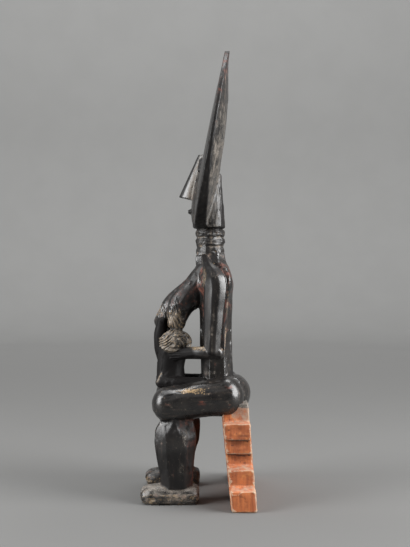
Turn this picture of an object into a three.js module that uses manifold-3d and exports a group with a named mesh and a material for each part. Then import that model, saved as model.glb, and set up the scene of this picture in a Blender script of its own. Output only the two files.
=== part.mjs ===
import * as THREE from 'three';
import * as BufferGeometryUtils from 'three/addons/utils/BufferGeometryUtils.js';
import Module from 'manifold-3d';

// A seated mother with a child on her lap, carved with her stool from one block of wood.
// Millimetres, +Z up. She faces -Y, her left side is +X, and the soles and the stool stand on Z = 0.

// Heights, stacked from the ground up.
const SEAT_HEIGHT = 104;
const TRUNK_LENGTH = 197;
const RING_COUNT = 3;
const RING_PITCH = 11.5;
const DISC_HEIGHT = 223;

// Stool slab: its ends step in below the seat and out again at the base.
const STOOL_BASE_WIDTH = 186;
const STOOL_LOWER_WIDTH = 158;
const STOOL_WAIST_WIDTH = 130;
const STOOL_UPPER_WIDTH = 139;
const STOOL_PANEL_WIDTH = 147;
const STOOL_SEAT_WIDTH = 118;
const STOOL_THICKNESS = 30.5;
const STOOL_EDGE = 1.8;
const STOOL_REAR = 70;
const STOOL_FRONT_LEAN = 5.6;
const STOOL_REAR_LEAN = 4;

// Legs and feet.
const LEG_SPACING = 90;
const THIGH_WIDTH = 46;
const KNEE_THICKNESS = 43;
const KNEE_DROP = 6.5;
const HIP_THICKNESS = 50;
const KNEE_FRONT = -56;
const THIGH_REAR = 56;
const BUTTOCK_REAR = 66.5;
const SHIN_WIDTH = 36;
const SHIN_DEPTH = 51;
const SHIN_CENTRE = -27;
const FOOT_WIDTH = 34;
const FOOT_LENGTH = 72;
const FOOT_HEEL = 2;
const FOOT_HEIGHT = 23;
const TOE_COUNT = 5;
const TOE_GROOVE_DEPTH = 2.2;

// Trunk, from the waist to the foot of the neck.
const TRUNK_DEPTH = 41;
const TRUNK_REAR = 43;
const WAIST_WIDTH = 54;
const SHOULDER_WIDTH = 96;

// Arms.
const ARM_SPACING = 104;
const ARM_WIDTH = 24;
const ARM_DEPTH = 24;
const ARM_CENTRE = 18.5;
const ELBOW_HEIGHT = 183;
const FOREARM_THICKNESS = 15;
const FOREARM_LENGTH = 55;
const RIGHT_FOREARM_LENGTH = 70;
const RIGHT_FOREARM_DROP = 8;

// Breasts, long and pointing down to the child.
const BREAST_WIDTH = 32;
const BREAST_THICKNESS = 36.5;
const BREAST_SPACING = 28;
const BREAST_DROP = 85;
const BREAST_REACH = 58;

// Neck rings.
const NECK_CENTRE = 15.4;
const NECK_RADIUS = 16.3;
const RING_RADIUS = 19.5;

// Head plate: an upright oval that leans back, thin at the top and thicker towards the chin.
const DISC_WIDTH = 178;
const DISC_LEAN = 11.3;
const DISC_CHIN = -10.8;
const DISC_THICKNESS = 25;
const DISC_TIP_THICKNESS = 6.5;
const RIM_THICKNESS = 4.8;
const RIM_CHIN_THICKNESS = 15;
const RIM_BEVEL = 5.5;

// Face and back of the head.
const FACE_WIDTH = 66;
const FACE_HEIGHT = 90;
const FACE_RISE = 4.5;
const NOSE_LENGTH = 54;
const NOSE_PROJECTION = 21.5;
const NOSE_WIDTH = 24;
const SKULL_WIDTH = 42;
const SKULL_HEIGHT = 66;

// Child, seated on the lap with its back to the front.
const CHILD_BODY_HEIGHT = 44;
const CHILD_BODY_WIDTH = 36;
const CHILD_BODY_DEPTH = 37;
const CHILD_BACK = -53;
const CHILD_HEAD_LENGTH = 41;
const CHILD_HEAD_WIDTH = 37;
const CHILD_HEAD_HEIGHT = 30;
const CHILD_LEG_LENGTH = 55;
const CHILD_LIMB_THICKNESS = 15;
const CHILD_SHIFT = 8;

const TRUNK_TOP = SEAT_HEIGHT + TRUNK_LENGTH;
const NECK_TOP = TRUNK_TOP + RING_COUNT * RING_PITCH;
const THIGH_AXIS = SEAT_HEIGHT + HIP_THICKNESS / 2;
const LAP_HEIGHT = SEAT_HEIGHT + 0.78 * HIP_THICKNESS;

const { smoothstep } = THREE.MathUtils;
const wasm = await Module();
wasm.setup();

function toSolid(geometry) {
  const bare = geometry.clone();
  bare.deleteAttribute('normal');
  bare.deleteAttribute('uv');
  const merged = BufferGeometryUtils.mergeVertices(bare, 1e-4);
  const mesh = new wasm.Mesh({
    numProp: 3,
    vertProperties: new Float32Array(merged.attributes.position.array),
    triVerts: new Uint32Array(merged.index.array),
  });
  return new wasm.Manifold(mesh);
}

function toGeometry(solid) {
  const mesh = solid.getMesh();
  const geometry = new THREE.BufferGeometry();
  geometry.setAttribute('position', new THREE.BufferAttribute(new Float32Array(mesh.vertProperties), 3));
  geometry.setIndex(new THREE.BufferAttribute(new Uint32Array(mesh.triVerts), 1));
  return geometry;
}

// Skins a list of equal rings, and closes each end with a point at the middle of its ring.
function skin(rings) {
  const sides = rings[0].length;
  const points = rings.flat();
  const ends = [rings[0], rings[rings.length - 1]].map((ring) => {
    const middle = ring.reduce((sum, point) => sum.add(point), new THREE.Vector3());
    return middle.divideScalar(sides);
  });
  const faces = [];
  const firstEnd = points.length;
  const lastRing = (rings.length - 1) * sides;
  for (let side = 0; side < sides; side += 1) {
    const next = (side + 1) % sides;
    faces.push(firstEnd, next, side, firstEnd + 1, lastRing + side, lastRing + next);
    for (let ring = 0; ring < lastRing; ring += sides) {
      const [a, b] = [ring + side, ring + next];
      faces.push(a, b, b + sides, a, b + sides, a + sides);
    }
  }
  const geometry = new THREE.BufferGeometry().setFromPoints([...points, ...ends]);
  geometry.setIndex(faces);
  return geometry;
}

// A rounded section of half size 1: a power of 2 is an ellipse, and higher powers are squarer.
function section(sides, power) {
  return Array.from({ length: sides }, (_, side) => {
    const angle = ((side + 0.5) / sides) * 2 * Math.PI;
    const [cos, sin] = [Math.cos(angle), Math.sin(angle)];
    const reach = (Math.abs(cos) ** power + Math.abs(sin) ** power) ** (-1 / power);
    return [reach * cos, reach * sin];
  });
}

// The corners of a faceted section in half sizes, each outward and then through the limb. Those
// of a right limb are mirrored and keep their turn.
function faceted(corners, side = 1) {
  const placed = corners.map(([out, deep]) => [side * out, deep]);
  return side > 0 ? placed : placed.reverse();
}

// A limb along a smooth path. Each station gives its centre and its two half sizes, across the
// body and through the limb. Its ends are domes, as deep as round says in half thicknesses.
function limb(stations, { sides = 16, power = 2.2, steps = 8, round = [1, 1], shapeAt = null } = {}) {
  const path = new THREE.CatmullRomCurve3(stations.map(({ at }) => new THREE.Vector3(...at)));
  const sizes = new THREE.CatmullRomCurve3(stations.map(({ half }) => new THREE.Vector3(...half, 0)));
  const shapeOf = shapeAt ?? (() => section(sides, power));
  const ringAt = (share, push, shrink) => {
    const along = path.getTangent(share);
    const across = new THREE.Vector3(1, 0, 0).addScaledVector(along, -along.x).normalize();
    const through = new THREE.Vector3().crossVectors(along, across);
    const half = sizes.getPoint(share).multiplyScalar(shrink);
    const centre = path.getPoint(share).addScaledVector(along, push * sizes.getPoint(share).y);
    return shapeOf(share).map(([a, b]) => {
      return centre.clone().addScaledVector(across, a * half.x).addScaledVector(through, b * half.y);
    });
  };
  const dome = [[1, 0.06], [0.92, 0.42], [0.7, 0.74]];
  const start = dome.map(([push, shrink]) => ringAt(0, -push * round[0], shrink));
  const end = dome.map(([push, shrink]) => ringAt(1, push * round[1], shrink)).reverse();
  const middle = Array.from({ length: steps + 1 }, (_, step) => ringAt(step / steps, 0, 1));
  return skin([...start, ...middle, ...end]);
}

function ellipsoid(centre, half, columns, rows) {
  const geometry = new THREE.SphereGeometry(1, columns, rows);
  geometry.rotateX(Math.PI / 2);
  geometry.scale(...half);
  geometry.translate(...centre);
  return geometry;
}

// The stool is a slab across the back. Its two ends are cut in steps, widest at the base.
function stool() {
  const levels = [
    [STOOL_BASE_WIDTH, 0],
    [STOOL_BASE_WIDTH, 0.24],
    [STOOL_LOWER_WIDTH, 0.262],
    [STOOL_LOWER_WIDTH, 0.445],
    [STOOL_WAIST_WIDTH, 0.49],
    [STOOL_WAIST_WIDTH, 0.6],
    [STOOL_UPPER_WIDTH, 0.604],
    [STOOL_UPPER_WIDTH, 0.772],
    [STOOL_PANEL_WIDTH, 0.776],
    [STOOL_PANEL_WIDTH, 0.96],
    [STOOL_SEAT_WIDTH, 0.97],
    [STOOL_SEAT_WIDTH, 1.17],
  ];
  const right = levels.map(([width, share]) => new THREE.Vector2(width / 2, share * SEAT_HEIGHT));
  const left = right.map(({ x, y }) => new THREE.Vector2(-x, y)).reverse();
  const geometry = new THREE.ExtrudeGeometry(new THREE.Shape([...right, ...left]), {
    depth: STOOL_THICKNESS - 2 * STOOL_EDGE,
    bevelSegments: 1,
    bevelThickness: STOOL_EDGE,
    bevelSize: STOOL_EDGE,
    bevelOffset: -STOOL_EDGE,
  });
  geometry.rotateX(Math.PI / 2);
  geometry.translate(0, STOOL_REAR - STOOL_EDGE, 0);
  const position = geometry.attributes.position;
  for (let index = 0; index < position.count; index += 1) {
    const towardsFront = (STOOL_REAR - position.getY(index)) / STOOL_THICKNESS;
    const lean = STOOL_REAR_LEAN + towardsFront * (STOOL_FRONT_LEAN - STOOL_REAR_LEAN);
    const slope = Math.tan(THREE.MathUtils.degToRad(lean));
    position.setY(index, position.getY(index) - slope * position.getZ(index));
  }
  return geometry;
}

function pelvis() {
  const half = 0.48 * HIP_THICKNESS;
  const front = BUTTOCK_REAR - 2.6 * half;
  const stations = [
    { at: [0, front, THIGH_AXIS - 0.08 * half], half: [LEG_SPACING / 2, 0.86 * half] },
    { at: [0, front + 0.9 * half, THIGH_AXIS - 0.04 * half], half: [LEG_SPACING / 2, half] },
    { at: [0, BUTTOCK_REAR - 0.95 * half, THIGH_AXIS - 0.08 * half], half: [0.42 * LEG_SPACING, half] },
  ];
  return limb(stations, { steps: 4, round: [0.4, 0.95] });
}

// The left thigh rides a little higher than the right one.
function thigh(side) {
  const x = (side * LEG_SPACING) / 2;
  const wide = THIGH_WIDTH / 2;
  const knee = KNEE_THICKNESS / 2;
  const hip = HIP_THICKNESS / 2;
  const kneeAxis = SEAT_HEIGHT - KNEE_DROP + knee;
  const dip = side > 0 ? 0.12 * hip : 0.24 * hip;
  const length = THIGH_REAR - KNEE_FRONT;
  const start = KNEE_FRONT + 0.9 * knee;
  const stations = [
    { at: [x, start, kneeAxis], half: [0.92 * wide, knee] },
    { at: [x, start + 0.18 * length, kneeAxis + 0.1 * knee], half: [0.95 * wide, knee] },
    { at: [x, start + 0.4 * length, THIGH_AXIS - dip], half: [wide, 0.48 * (knee + hip)] },
    { at: [x, THIGH_REAR - 0.9 * hip, THIGH_AXIS], half: [wide, hip] },
  ];
  return limb(stations, { sides: 18, steps: 7, round: [0.9, 0.9] });
}

// An eight-sided shin, whose outer and inner facets taper to a point under the knee. The right
// calf is fuller than the left one.
function shin(side) {
  const x = (side * LEG_SPACING) / 2;
  const wide = SHIN_WIDTH / 2;
  const deep = SHIN_DEPTH / 2;
  const calf = side > 0 ? 0 : 0.1 * deep;
  const rows = [
    { drop: -0.06, shift: 0.08 * deep, width: 0.8, depth: 0.7 * deep },
    { drop: 0.1, shift: 0.06 * deep, width: 0.88, depth: 0.82 * deep },
    { drop: 0.27, shift: calf, width: 1, depth: deep + calf / 2 },
    { drop: 0.5, shift: calf, width: 0.97, depth: 0.96 * deep + calf / 2 },
    { drop: 0.8, shift: 0.04 * deep, width: 0.88, depth: 0.81 * deep },
    { drop: 1.04, shift: 0.06 * deep, width: 0.84, depth: 0.75 * deep },
  ];
  const stations = rows.map(({ drop, shift, width, depth }) => {
    const height = SEAT_HEIGHT - drop * (SEAT_HEIGHT - FOOT_HEIGHT);
    return { at: [x, SHIN_CENTRE + shift, height], half: [width * wide, depth] };
  });
  const corners = [
    [1, 0.45], [0.5, 1], [-0.5, 1], [-1, 0.45], [-1, -0.46], [-0.55, -1], [0.55, -1], [1, -0.46],
  ];
  const apex = 0.18;
  const shapeAt = (share) => {
    const open = THREE.MathUtils.clamp((share - 0.14) / 0.28, 0.12, 1);
    return faceted(corners.map(([out, through]) => {
      return Math.abs(out) < 1 ? [out, through] : [out, apex + open * (through - apex)];
    }), side);
  };
  return limb(stations, { steps: 9, round: [0.2, 0.1], shapeAt });
}

// A thick foot with a blunt toe end, and grooves between the toes. Its sole is flat and rises a
// little at both ends.
function foot(side) {
  const x = (side * LEG_SPACING) / 2;
  const toe = FOOT_HEEL - FOOT_LENGTH;
  const outline = [
    [-0.86, 0], [-1, 0.2], [-1, 0.52], [-0.76, 0.84], [0, 1],
    [0.76, 0.84], [1, 0.52], [1, 0.2], [0.86, 0],
  ];
  const rows = [
    { share: 0, width: 0.3, low: 0.4, high: 0.6 },
    { share: 0.02, width: 0.55, low: 0.2, high: 0.72 },
    { share: 0.07, width: 0.78, low: 0.06, high: 0.84 },
    { share: 0.16, width: 0.92, low: 0.01, high: 0.92 },
    { share: 0.3, width: 1, low: 0, high: 0.98 },
    { share: 0.6, width: 1, low: 0, high: 1 },
    { share: 0.82, width: 0.95, low: 0, high: 1 },
    { share: 0.93, width: 0.84, low: 0.03, high: 0.95 },
    { share: 0.985, width: 0.62, low: 0.16, high: 0.84 },
    { share: 1, width: 0.36, low: 0.34, high: 0.68 },
  ];
  const rings = rows.map(({ share, width, low, high }) => outline.map(([across, up]) => {
    const height = (low + up * (high - low)) * FOOT_HEIGHT;
    return new THREE.Vector3(x + 0.5 * across * width * FOOT_WIDTH, toe + share * FOOT_LENGTH, height);
  }));
  let solid = toSolid(skin(rings));
  for (let groove = 1; groove < TOE_COUNT; groove += 1) {
    const place = 2 * (groove / TOE_COUNT - 0.5);
    const cutter = new THREE.CylinderGeometry(TOE_GROOVE_DEPTH, TOE_GROOVE_DEPTH, 0.22 * FOOT_LENGTH, 4);
    cutter.rotateX(0.19 * Math.PI);
    const height = (0.8 - 0.3 * place ** 2) * FOOT_HEIGHT;
    cutter.translate(x + 0.42 * place * FOOT_WIDTH, toe + 0.063 * FOOT_LENGTH, height);
    solid = solid.subtract(toSolid(cutter));
  }
  return toGeometry(solid);
}

// The trunk's rear arrises lie further back at the shoulders than at the waist.
function trunk() {
  const rows = [
    { share: 0.1, width: 1.2 * WAIST_WIDTH, front: 0, rear: 0.07 },
    { share: 0.24, width: 1.06 * WAIST_WIDTH, front: 0.04, rear: 0.035 },
    { share: 0.45, width: WAIST_WIDTH, front: 0, rear: 0 },
    { share: 0.62, width: 0.7 * SHOULDER_WIDTH, front: -0.01, rear: 0 },
    { share: 0.74, width: 0.86 * SHOULDER_WIDTH, front: -0.05, rear: 0.01 },
    { share: 0.82, width: SHOULDER_WIDTH, front: -0.1, rear: 0.025 },
    { share: 0.89, width: 0.87 * SHOULDER_WIDTH, front: -0.12, rear: -0.07 },
    { share: 0.955, width: 0.5 * SHOULDER_WIDTH, front: -0.12, rear: -0.18 },
  ];
  const stations = rows.map(({ share, width, front, rear }) => {
    const middle = TRUNK_REAR + (0.5 * (front + rear) - 0.5) * TRUNK_DEPTH;
    const half = 0.5 * (1 + rear - front) * TRUNK_DEPTH;
    return { at: [0, middle, SEAT_HEIGHT + share * TRUNK_LENGTH], half: [width / 2, half] };
  });
  const neckHalf = 0.95 * RING_RADIUS;
  stations.push({ at: [0, NECK_CENTRE, TRUNK_TOP + 0.1 * RING_PITCH], half: [neckHalf, neckHalf] });
  const shapeAt = (share) => {
    const shoulder = smoothstep(share, 0.3, 0.68) * (1 - smoothstep(share, 0.74, 0.92));
    const arris = 0.47 + 0.36 * shoulder;
    return faceted([
      [1, arris], [0.93, arris + 0.1], [0.5, 1], [-0.5, 1], [-0.93, arris + 0.1], [-1, arris],
      [-1, -0.45], [-0.55, -1], [0.55, -1], [1, -0.45],
    ]);
  };
  return limb(stations, { steps: 15, round: [0.3, 0.1], shapeAt });
}

// The upper arm starts as a point beside the neck, widens over the shoulder and hangs down the
// trunk's side, with the trunk's back standing out behind it.
function arm(side) {
  const x = (side * ARM_SPACING) / 2;
  const wide = ARM_WIDTH / 2;
  const deep = ARM_DEPTH / 2;
  const drop = TRUNK_TOP - ELBOW_HEIGHT;
  const stations = [
    { at: [0.26 * x, ARM_CENTRE - 0.75 * deep, TRUNK_TOP - 0.06 * drop], half: [0.8 * wide, 0.34 * deep] },
    { at: [0.64 * x, ARM_CENTRE - 0.5 * deep, TRUNK_TOP - 0.13 * drop], half: [wide, 0.55 * deep] },
    { at: [0.87 * x, ARM_CENTRE, TRUNK_TOP - 0.28 * drop], half: [wide, 1.02 * deep] },
    { at: [0.95 * x, ARM_CENTRE - 0.04 * deep, TRUNK_TOP - 0.6 * drop], half: [0.9 * wide, 0.92 * deep] },
    { at: [x, ARM_CENTRE - 0.2 * deep, ELBOW_HEIGHT], half: [0.82 * wide, 0.78 * deep] },
  ];
  const corners = [
    [1, 0.28], [0.14, 1], [-0.4, 1], [-1, 0.4], [-1, -0.5], [-0.6, -1], [0.62, -1], [1, -0.36],
  ];
  return limb(stations, { steps: 12, round: [0.4, 0.5], shapeAt: () => faceted(corners, side) });
}

// Her left forearm holds the child's head, and the right one lies lower and holds its back.
function forearm(side) {
  const left = side > 0;
  const x = (side * ARM_SPACING) / 2;
  const half = FOREARM_THICKNESS / 2;
  const length = left ? FOREARM_LENGTH : RIGHT_FOREARM_LENGTH;
  const height = ELBOW_HEIGHT - 0.07 * FOREARM_THICKNESS - (left ? 0 : RIGHT_FOREARM_DROP);
  const [wrist, hand] = left ? [0.74, 0.42] : [0.72, 0.3];
  const sink = left ? 0.35 * FOREARM_THICKNESS : -0.13 * FOREARM_THICKNESS;
  const elbow = ARM_CENTRE + 0.47 * FOREARM_THICKNESS;
  const stations = [
    { at: [0.98 * x, elbow, height], half: [1.1 * half, half] },
    { at: [0.94 * x, elbow - 0.32 * length, height], half: [1.1 * half, half] },
    { at: [wrist * x, elbow - 0.66 * length, height - 0.2 * sink], half: [half, 0.95 * half] },
    { at: [hand * x, elbow - length, height - sink], half: [0.9 * half, 0.85 * half] },
  ];
  const corners = [
    [1, 0.4], [0.5, 1], [-0.5, 1], [-1, 0.4], [-1, -0.4], [-0.5, -1], [0.5, -1], [1, -0.4],
  ];
  return limb(stations, { steps: 9, round: [0.9, 0.9], shapeAt: () => faceted(corners) });
}

// The right breast reaches further forward than the left one.
function breast(side) {
  const x = (side * BREAST_SPACING) / 2;
  const wide = BREAST_WIDTH / 2;
  const thick = BREAST_THICKNESS / 2;
  const root = NECK_CENTRE - 0.05 * BREAST_REACH;
  const [upper, lower, tip] = side > 0 ? [0.28, 0.58, 0.68] : [0.3, 0.7, 0.97];
  const blunt = side > 0 ? 0.6 : 0.72;
  const stations = [
    { at: [0.8 * x, root, TRUNK_TOP - 0.24 * BREAST_DROP], half: [wide, 0.9 * thick] },
    { at: [x, root - upper * BREAST_REACH, TRUNK_TOP - 0.52 * BREAST_DROP], half: [wide, thick] },
    { at: [x, root - lower * BREAST_REACH, TRUNK_TOP - 0.74 * BREAST_DROP], half: [wide, 0.92 * thick] },
    { at: [x, root - tip * BREAST_REACH, TRUNK_TOP - BREAST_DROP], half: [0.75 * wide, blunt * thick] },
  ];
  return limb(stations, { sides: 14, steps: 7, round: [0.3, 0.9] });
}

// The neck and its rings are one turned profile.
function neck() {
  const bottom = TRUNK_TOP - RING_PITCH / 2;
  const top = NECK_TOP + RING_PITCH;
  const profile = [[0, bottom], [0.95 * RING_RADIUS, bottom]];
  for (let ring = 0; ring < RING_COUNT; ring += 1) {
    const middle = TRUNK_TOP + (ring + 0.5) * RING_PITCH;
    for (const [out, up] of [[0, -0.5], [0.7, -0.36], [1, 0], [0.7, 0.36]]) {
      profile.push([NECK_RADIUS + out * (RING_RADIUS - NECK_RADIUS), middle + up * RING_PITCH]);
    }
  }
  profile.push([NECK_RADIUS, NECK_TOP], [NECK_RADIUS, top], [0, top]);
  const geometry = new THREE.LatheGeometry(profile.map(([x, y]) => new THREE.Vector2(x, y)), 20);
  geometry.rotateX(Math.PI / 2);
  geometry.translate(0, NECK_CENTRE, 0);
  return geometry;
}

// Plate sizes at a share of its height above the chin.
function plateFront(share) {
  return DISC_CHIN + share * DISC_HEIGHT * Math.tan(THREE.MathUtils.degToRad(DISC_LEAN));
}

function plateThickness(share) {
  return DISC_TIP_THICKNESS + (DISC_THICKNESS - DISC_TIP_THICKNESS) * (1 - share ** 2.6);
}

function plateRim(share) {
  const chinShare = Math.max(0, 1 - share / 0.5) ** 1.6;
  const tipShare = Math.max(0, (share - 0.75) / 0.25) ** 2;
  const chin = (RIM_CHIN_THICKNESS - RIM_THICKNESS) * chinShare;
  const tip = (DISC_TIP_THICKNESS - RIM_THICKNESS) * tipShare;
  return RIM_THICKNESS + chin + tip;
}

// The front is flat with a bevel along the rim, and the back swells towards the middle.
function headPlate() {
  const columns = 40;
  const radii = [0.08, 0.35, 0.6, 0.78, 0.9, 1];
  const ringAt = (radius, isBack) => Array.from({ length: columns }, (_, column) => {
    const angle = (column / columns) * 2 * Math.PI;
    const share = 0.5 + 0.5 * radius * Math.sin(angle);
    const bevel = RIM_BEVEL * (1 - share ** 2);
    const rim = plateRim(share);
    const swell = (plateThickness(share) - bevel - rim) * (1 - radius ** 4);
    const depth = isBack ? bevel + rim + swell : bevel * Math.max(0, (radius - 0.6) / 0.4) ** 2;
    const x = 0.5 * DISC_WIDTH * radius * Math.cos(angle);
    return new THREE.Vector3(x, plateFront(share) + depth, NECK_TOP + share * DISC_HEIGHT);
  });
  const back = radii.map((radius) => ringAt(radius, true));
  const front = radii.map((radius) => ringAt(radius, false)).reverse();
  return skin([...back, ...front]);
}

// The back of the head is a half cone that runs up the plate's back to a point.
function skull() {
  const rear = NECK_CENTRE + RING_RADIUS;
  const stations = [0, 0.3, 0.62, 1].map((share) => {
    const half = 0.5 * SKULL_WIDTH * Math.sqrt(1 - 0.97 * share ** 1.6);
    const middle = rear - half - 0.1 * share * SKULL_WIDTH;
    return { at: [0, middle, NECK_TOP + 0.03 * SKULL_HEIGHT + share * SKULL_HEIGHT], half: [half, half] };
  });
  return limb(stations, { sides: 14, steps: 5, round: [0.2, 0.5] });
}

// A wedge with a narrow ridge, bevelled on both sides, that ends in a flat underside.
function nose() {
  const rootHeight = NECK_TOP + 0.42 * DISC_HEIGHT;
  const flank = [[1, 1], [0.86, 0.42], [0.46, 0.16], [0.2, 0]];
  const profile = [...flank, ...flank.map(([across, depth]) => [-across, depth]).reverse()];
  const rings = [0, 0.35, 0.7, 1].map((row) => {
    const height = rootHeight - row * NOSE_LENGTH;
    const plate = plateFront((height - NECK_TOP) / DISC_HEIGHT);
    const rise = NOSE_PROJECTION * (0.35 + 0.65 * row);
    const half = 0.5 * NOSE_WIDTH * (0.55 + 0.45 * row);
    const droop = row === 1 ? 0.1 * NOSE_LENGTH : 0;
    return profile.map(([across, depth]) => {
      const y = plate - rise + depth * (rise + FACE_RISE);
      return new THREE.Vector3(across * half, y, height - depth * droop);
    });
  });
  return skin(rings);
}

// A low oval mask on the plate, with a nose, a small mouth, eyes and arched brows.
function face() {
  const onPlate = (x, share, rise) => [x, plateFront(share) - rise, NECK_TOP + share * DISC_HEIGHT];
  const mask = ellipsoid([0, 0, 0], [FACE_WIDTH / 2, 2 * FACE_RISE, FACE_HEIGHT / 2], 16, 10);
  mask.rotateX(-THREE.MathUtils.degToRad(DISC_LEAN));
  mask.translate(...onPlate(0, 0.22, -FACE_RISE));
  const mouthHalf = [0.32 * NOSE_WIDTH, 1.1 * FACE_RISE, 0.7 * FACE_RISE];
  const parts = [mask, nose(), ellipsoid(onPlate(0, 0.095, 0.5 * FACE_RISE), mouthHalf, 10, 8)];
  for (const side of [-1, 1]) {
    const eyeHalf = [0.12 * FACE_WIDTH, 0.8 * FACE_RISE, 0.06 * FACE_WIDTH];
    parts.push(ellipsoid(onPlate(side * 0.24 * FACE_WIDTH, 0.26, 0.2 * FACE_RISE), eyeHalf, 12, 6));
    const brow = [0, 0.35, 0.7, 1].map((share) => {
      const across = side * (0.06 + 0.36 * share) * FACE_WIDTH;
      const height = 0.37 + 0.03 * Math.sin(share * Math.PI) - 0.05 * share;
      return { at: onPlate(across, height, 0.25 * FACE_RISE), half: [0.05 * FACE_WIDTH, 0.05 * FACE_WIDTH] };
    });
    parts.push(limb(brow, { sides: 6, steps: 4 }));
  }
  return parts;
}

// The child sits astride the lap, and its right arm reaches up to the breast.
function child() {
  const x = CHILD_SHIFT;
  const wide = CHILD_BODY_WIDTH / 2;
  const deep = CHILD_BODY_DEPTH / 2;
  const limbHalf = CHILD_LIMB_THICKNESS / 2;
  const middle = CHILD_BACK + deep;
  const waistHeight = LAP_HEIGHT + 0.45 * CHILD_BODY_HEIGHT;
  const neckHeight = LAP_HEIGHT + 0.88 * CHILD_BODY_HEIGHT;
  const headCentre = [
    x + 0.32 * CHILD_HEAD_WIDTH,
    middle + 0.16 * CHILD_HEAD_LENGTH,
    LAP_HEIGHT + CHILD_BODY_HEIGHT + 0.22 * CHILD_HEAD_HEIGHT,
  ];
  const headHalf = [CHILD_HEAD_WIDTH / 2, CHILD_HEAD_LENGTH / 2, CHILD_HEAD_HEIGHT / 2];
  const body = [
    { at: [x, middle, LAP_HEIGHT + 0.1 * deep], half: [1.05 * wide, 0.99 * deep] },
    { at: [x, middle, waistHeight], half: [0.92 * wide, 0.96 * deep] },
    { at: [x, middle + 0.2 * deep, neckHeight], half: [0.9 * wide, 0.98 * deep] },
  ];
  const armX = x - 0.6 * wide;
  const arm = { wide: 1.2 * limbHalf, thick: 1.25 * limbHalf };
  const raisedArm = [
    { at: [armX, middle - 0.36 * deep, waistHeight], half: [limbHalf, arm.thick] },
    { at: [armX, middle - 0.62 * deep, neckHeight], half: [arm.wide, arm.thick] },
    { at: [armX, middle - 0.68 * deep, neckHeight + 2.4 * limbHalf], half: [arm.wide, arm.thick] },
    { at: [armX, middle - 0.62 * deep, neckHeight + 4.6 * limbHalf], half: [limbHalf, 0.9 * limbHalf] },
  ];
  const parts = [
    ellipsoid(headCentre, headHalf, 20, 12),
    limb(body, { sides: 14, steps: 5, power: 2.3, round: [0.5, 0.6] }),
    limb(raisedArm, { sides: 8, steps: 5 }),
  ];
  for (const side of [-1, 1]) {
    const hip = CHILD_BACK + limbHalf;
    const out = x + side * 1.02 * wide;
    const leg = [
      { at: [x + side * 0.66 * wide, hip, LAP_HEIGHT], half: [limbHalf, limbHalf] },
      { at: [out, hip + 0.42 * CHILD_LEG_LENGTH, LAP_HEIGHT], half: [limbHalf, limbHalf] },
      { at: [out, hip + 0.9 * CHILD_LEG_LENGTH, LAP_HEIGHT], half: [0.8 * limbHalf, 0.9 * limbHalf] },
    ];
    parts.push(limb(leg, { sides: 10, steps: 5 }));
  }
  return parts;
}

const pieces = [stool(), pelvis(), trunk(), neck(), skull(), headPlate(), ...face(), ...child()];
for (const side of [-1, 1]) {
  pieces.push(thigh(side), shin(side), foot(side), arm(side), forearm(side), breast(side));
}

// The origin is on the ground, under the middle of the whole outline.
const carving = toGeometry(wasm.Manifold.union(pieces.map(toSolid)));
carving.computeBoundingBox();
const { min: low, max: high } = carving.boundingBox;
carving.translate(-0.5 * (low.x + high.x), -0.5 * (low.y + high.y), -low.z);

const wood = new THREE.MeshStandardMaterial({ color: 0x2a1e17, roughness: 0.45, metalness: 0 });
const figure = new THREE.Mesh(carving, wood);
figure.name = 'figure';

const group = new THREE.Group();
group.add(figure);

export default group;
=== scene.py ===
import math

import bmesh
import bpy
import numpy as np
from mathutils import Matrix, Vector
from mathutils.bvhtree import BVHTree
from mathutils.kdtree import KDTree


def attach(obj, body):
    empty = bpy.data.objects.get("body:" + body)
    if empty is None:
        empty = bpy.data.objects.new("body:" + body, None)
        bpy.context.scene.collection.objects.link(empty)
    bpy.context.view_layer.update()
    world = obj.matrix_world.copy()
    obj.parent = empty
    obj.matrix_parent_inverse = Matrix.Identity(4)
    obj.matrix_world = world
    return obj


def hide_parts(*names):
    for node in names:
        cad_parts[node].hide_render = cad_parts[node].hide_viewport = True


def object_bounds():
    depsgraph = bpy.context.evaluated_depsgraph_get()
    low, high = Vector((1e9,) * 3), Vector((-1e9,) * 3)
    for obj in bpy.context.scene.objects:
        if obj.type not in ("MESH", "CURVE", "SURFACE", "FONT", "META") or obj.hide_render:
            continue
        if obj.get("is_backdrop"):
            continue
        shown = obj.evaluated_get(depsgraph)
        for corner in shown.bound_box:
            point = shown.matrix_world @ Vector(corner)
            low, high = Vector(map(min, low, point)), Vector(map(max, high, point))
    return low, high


# A seated mother with a child on the lap, carved with the stool from one block of wood.
# Sizes are in millimetres, in the frame of the solids: +Z up, the face to -Y, the left to +X.

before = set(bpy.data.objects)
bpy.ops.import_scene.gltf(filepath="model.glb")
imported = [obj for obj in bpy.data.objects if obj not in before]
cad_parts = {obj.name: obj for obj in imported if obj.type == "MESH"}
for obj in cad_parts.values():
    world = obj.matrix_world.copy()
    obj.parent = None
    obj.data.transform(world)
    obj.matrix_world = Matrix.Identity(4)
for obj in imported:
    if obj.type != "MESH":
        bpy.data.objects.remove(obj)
cad_low, cad_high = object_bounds()
MM = 0.001

SEAT_HEIGHT = 104
TRUNK_LENGTH = 197
RING_COUNT = 3
RING_PITCH = 11.5
DISC_HEIGHT = 223

STOOL_LEVELS = (
    (186, 0), (186, 0.24), (158, 0.262), (158, 0.445), (130, 0.49), (130, 0.6),
    (139, 0.604), (139, 0.772), (147, 0.776), (147, 0.96), (118, 0.97), (118, 1.17),
)
STOOL_THICKNESS = 30.5
STOOL_EDGE = 1.8
STOOL_REAR = 70
STOOL_FRONT_LEAN = 5.6
STOOL_REAR_LEAN = 4

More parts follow.
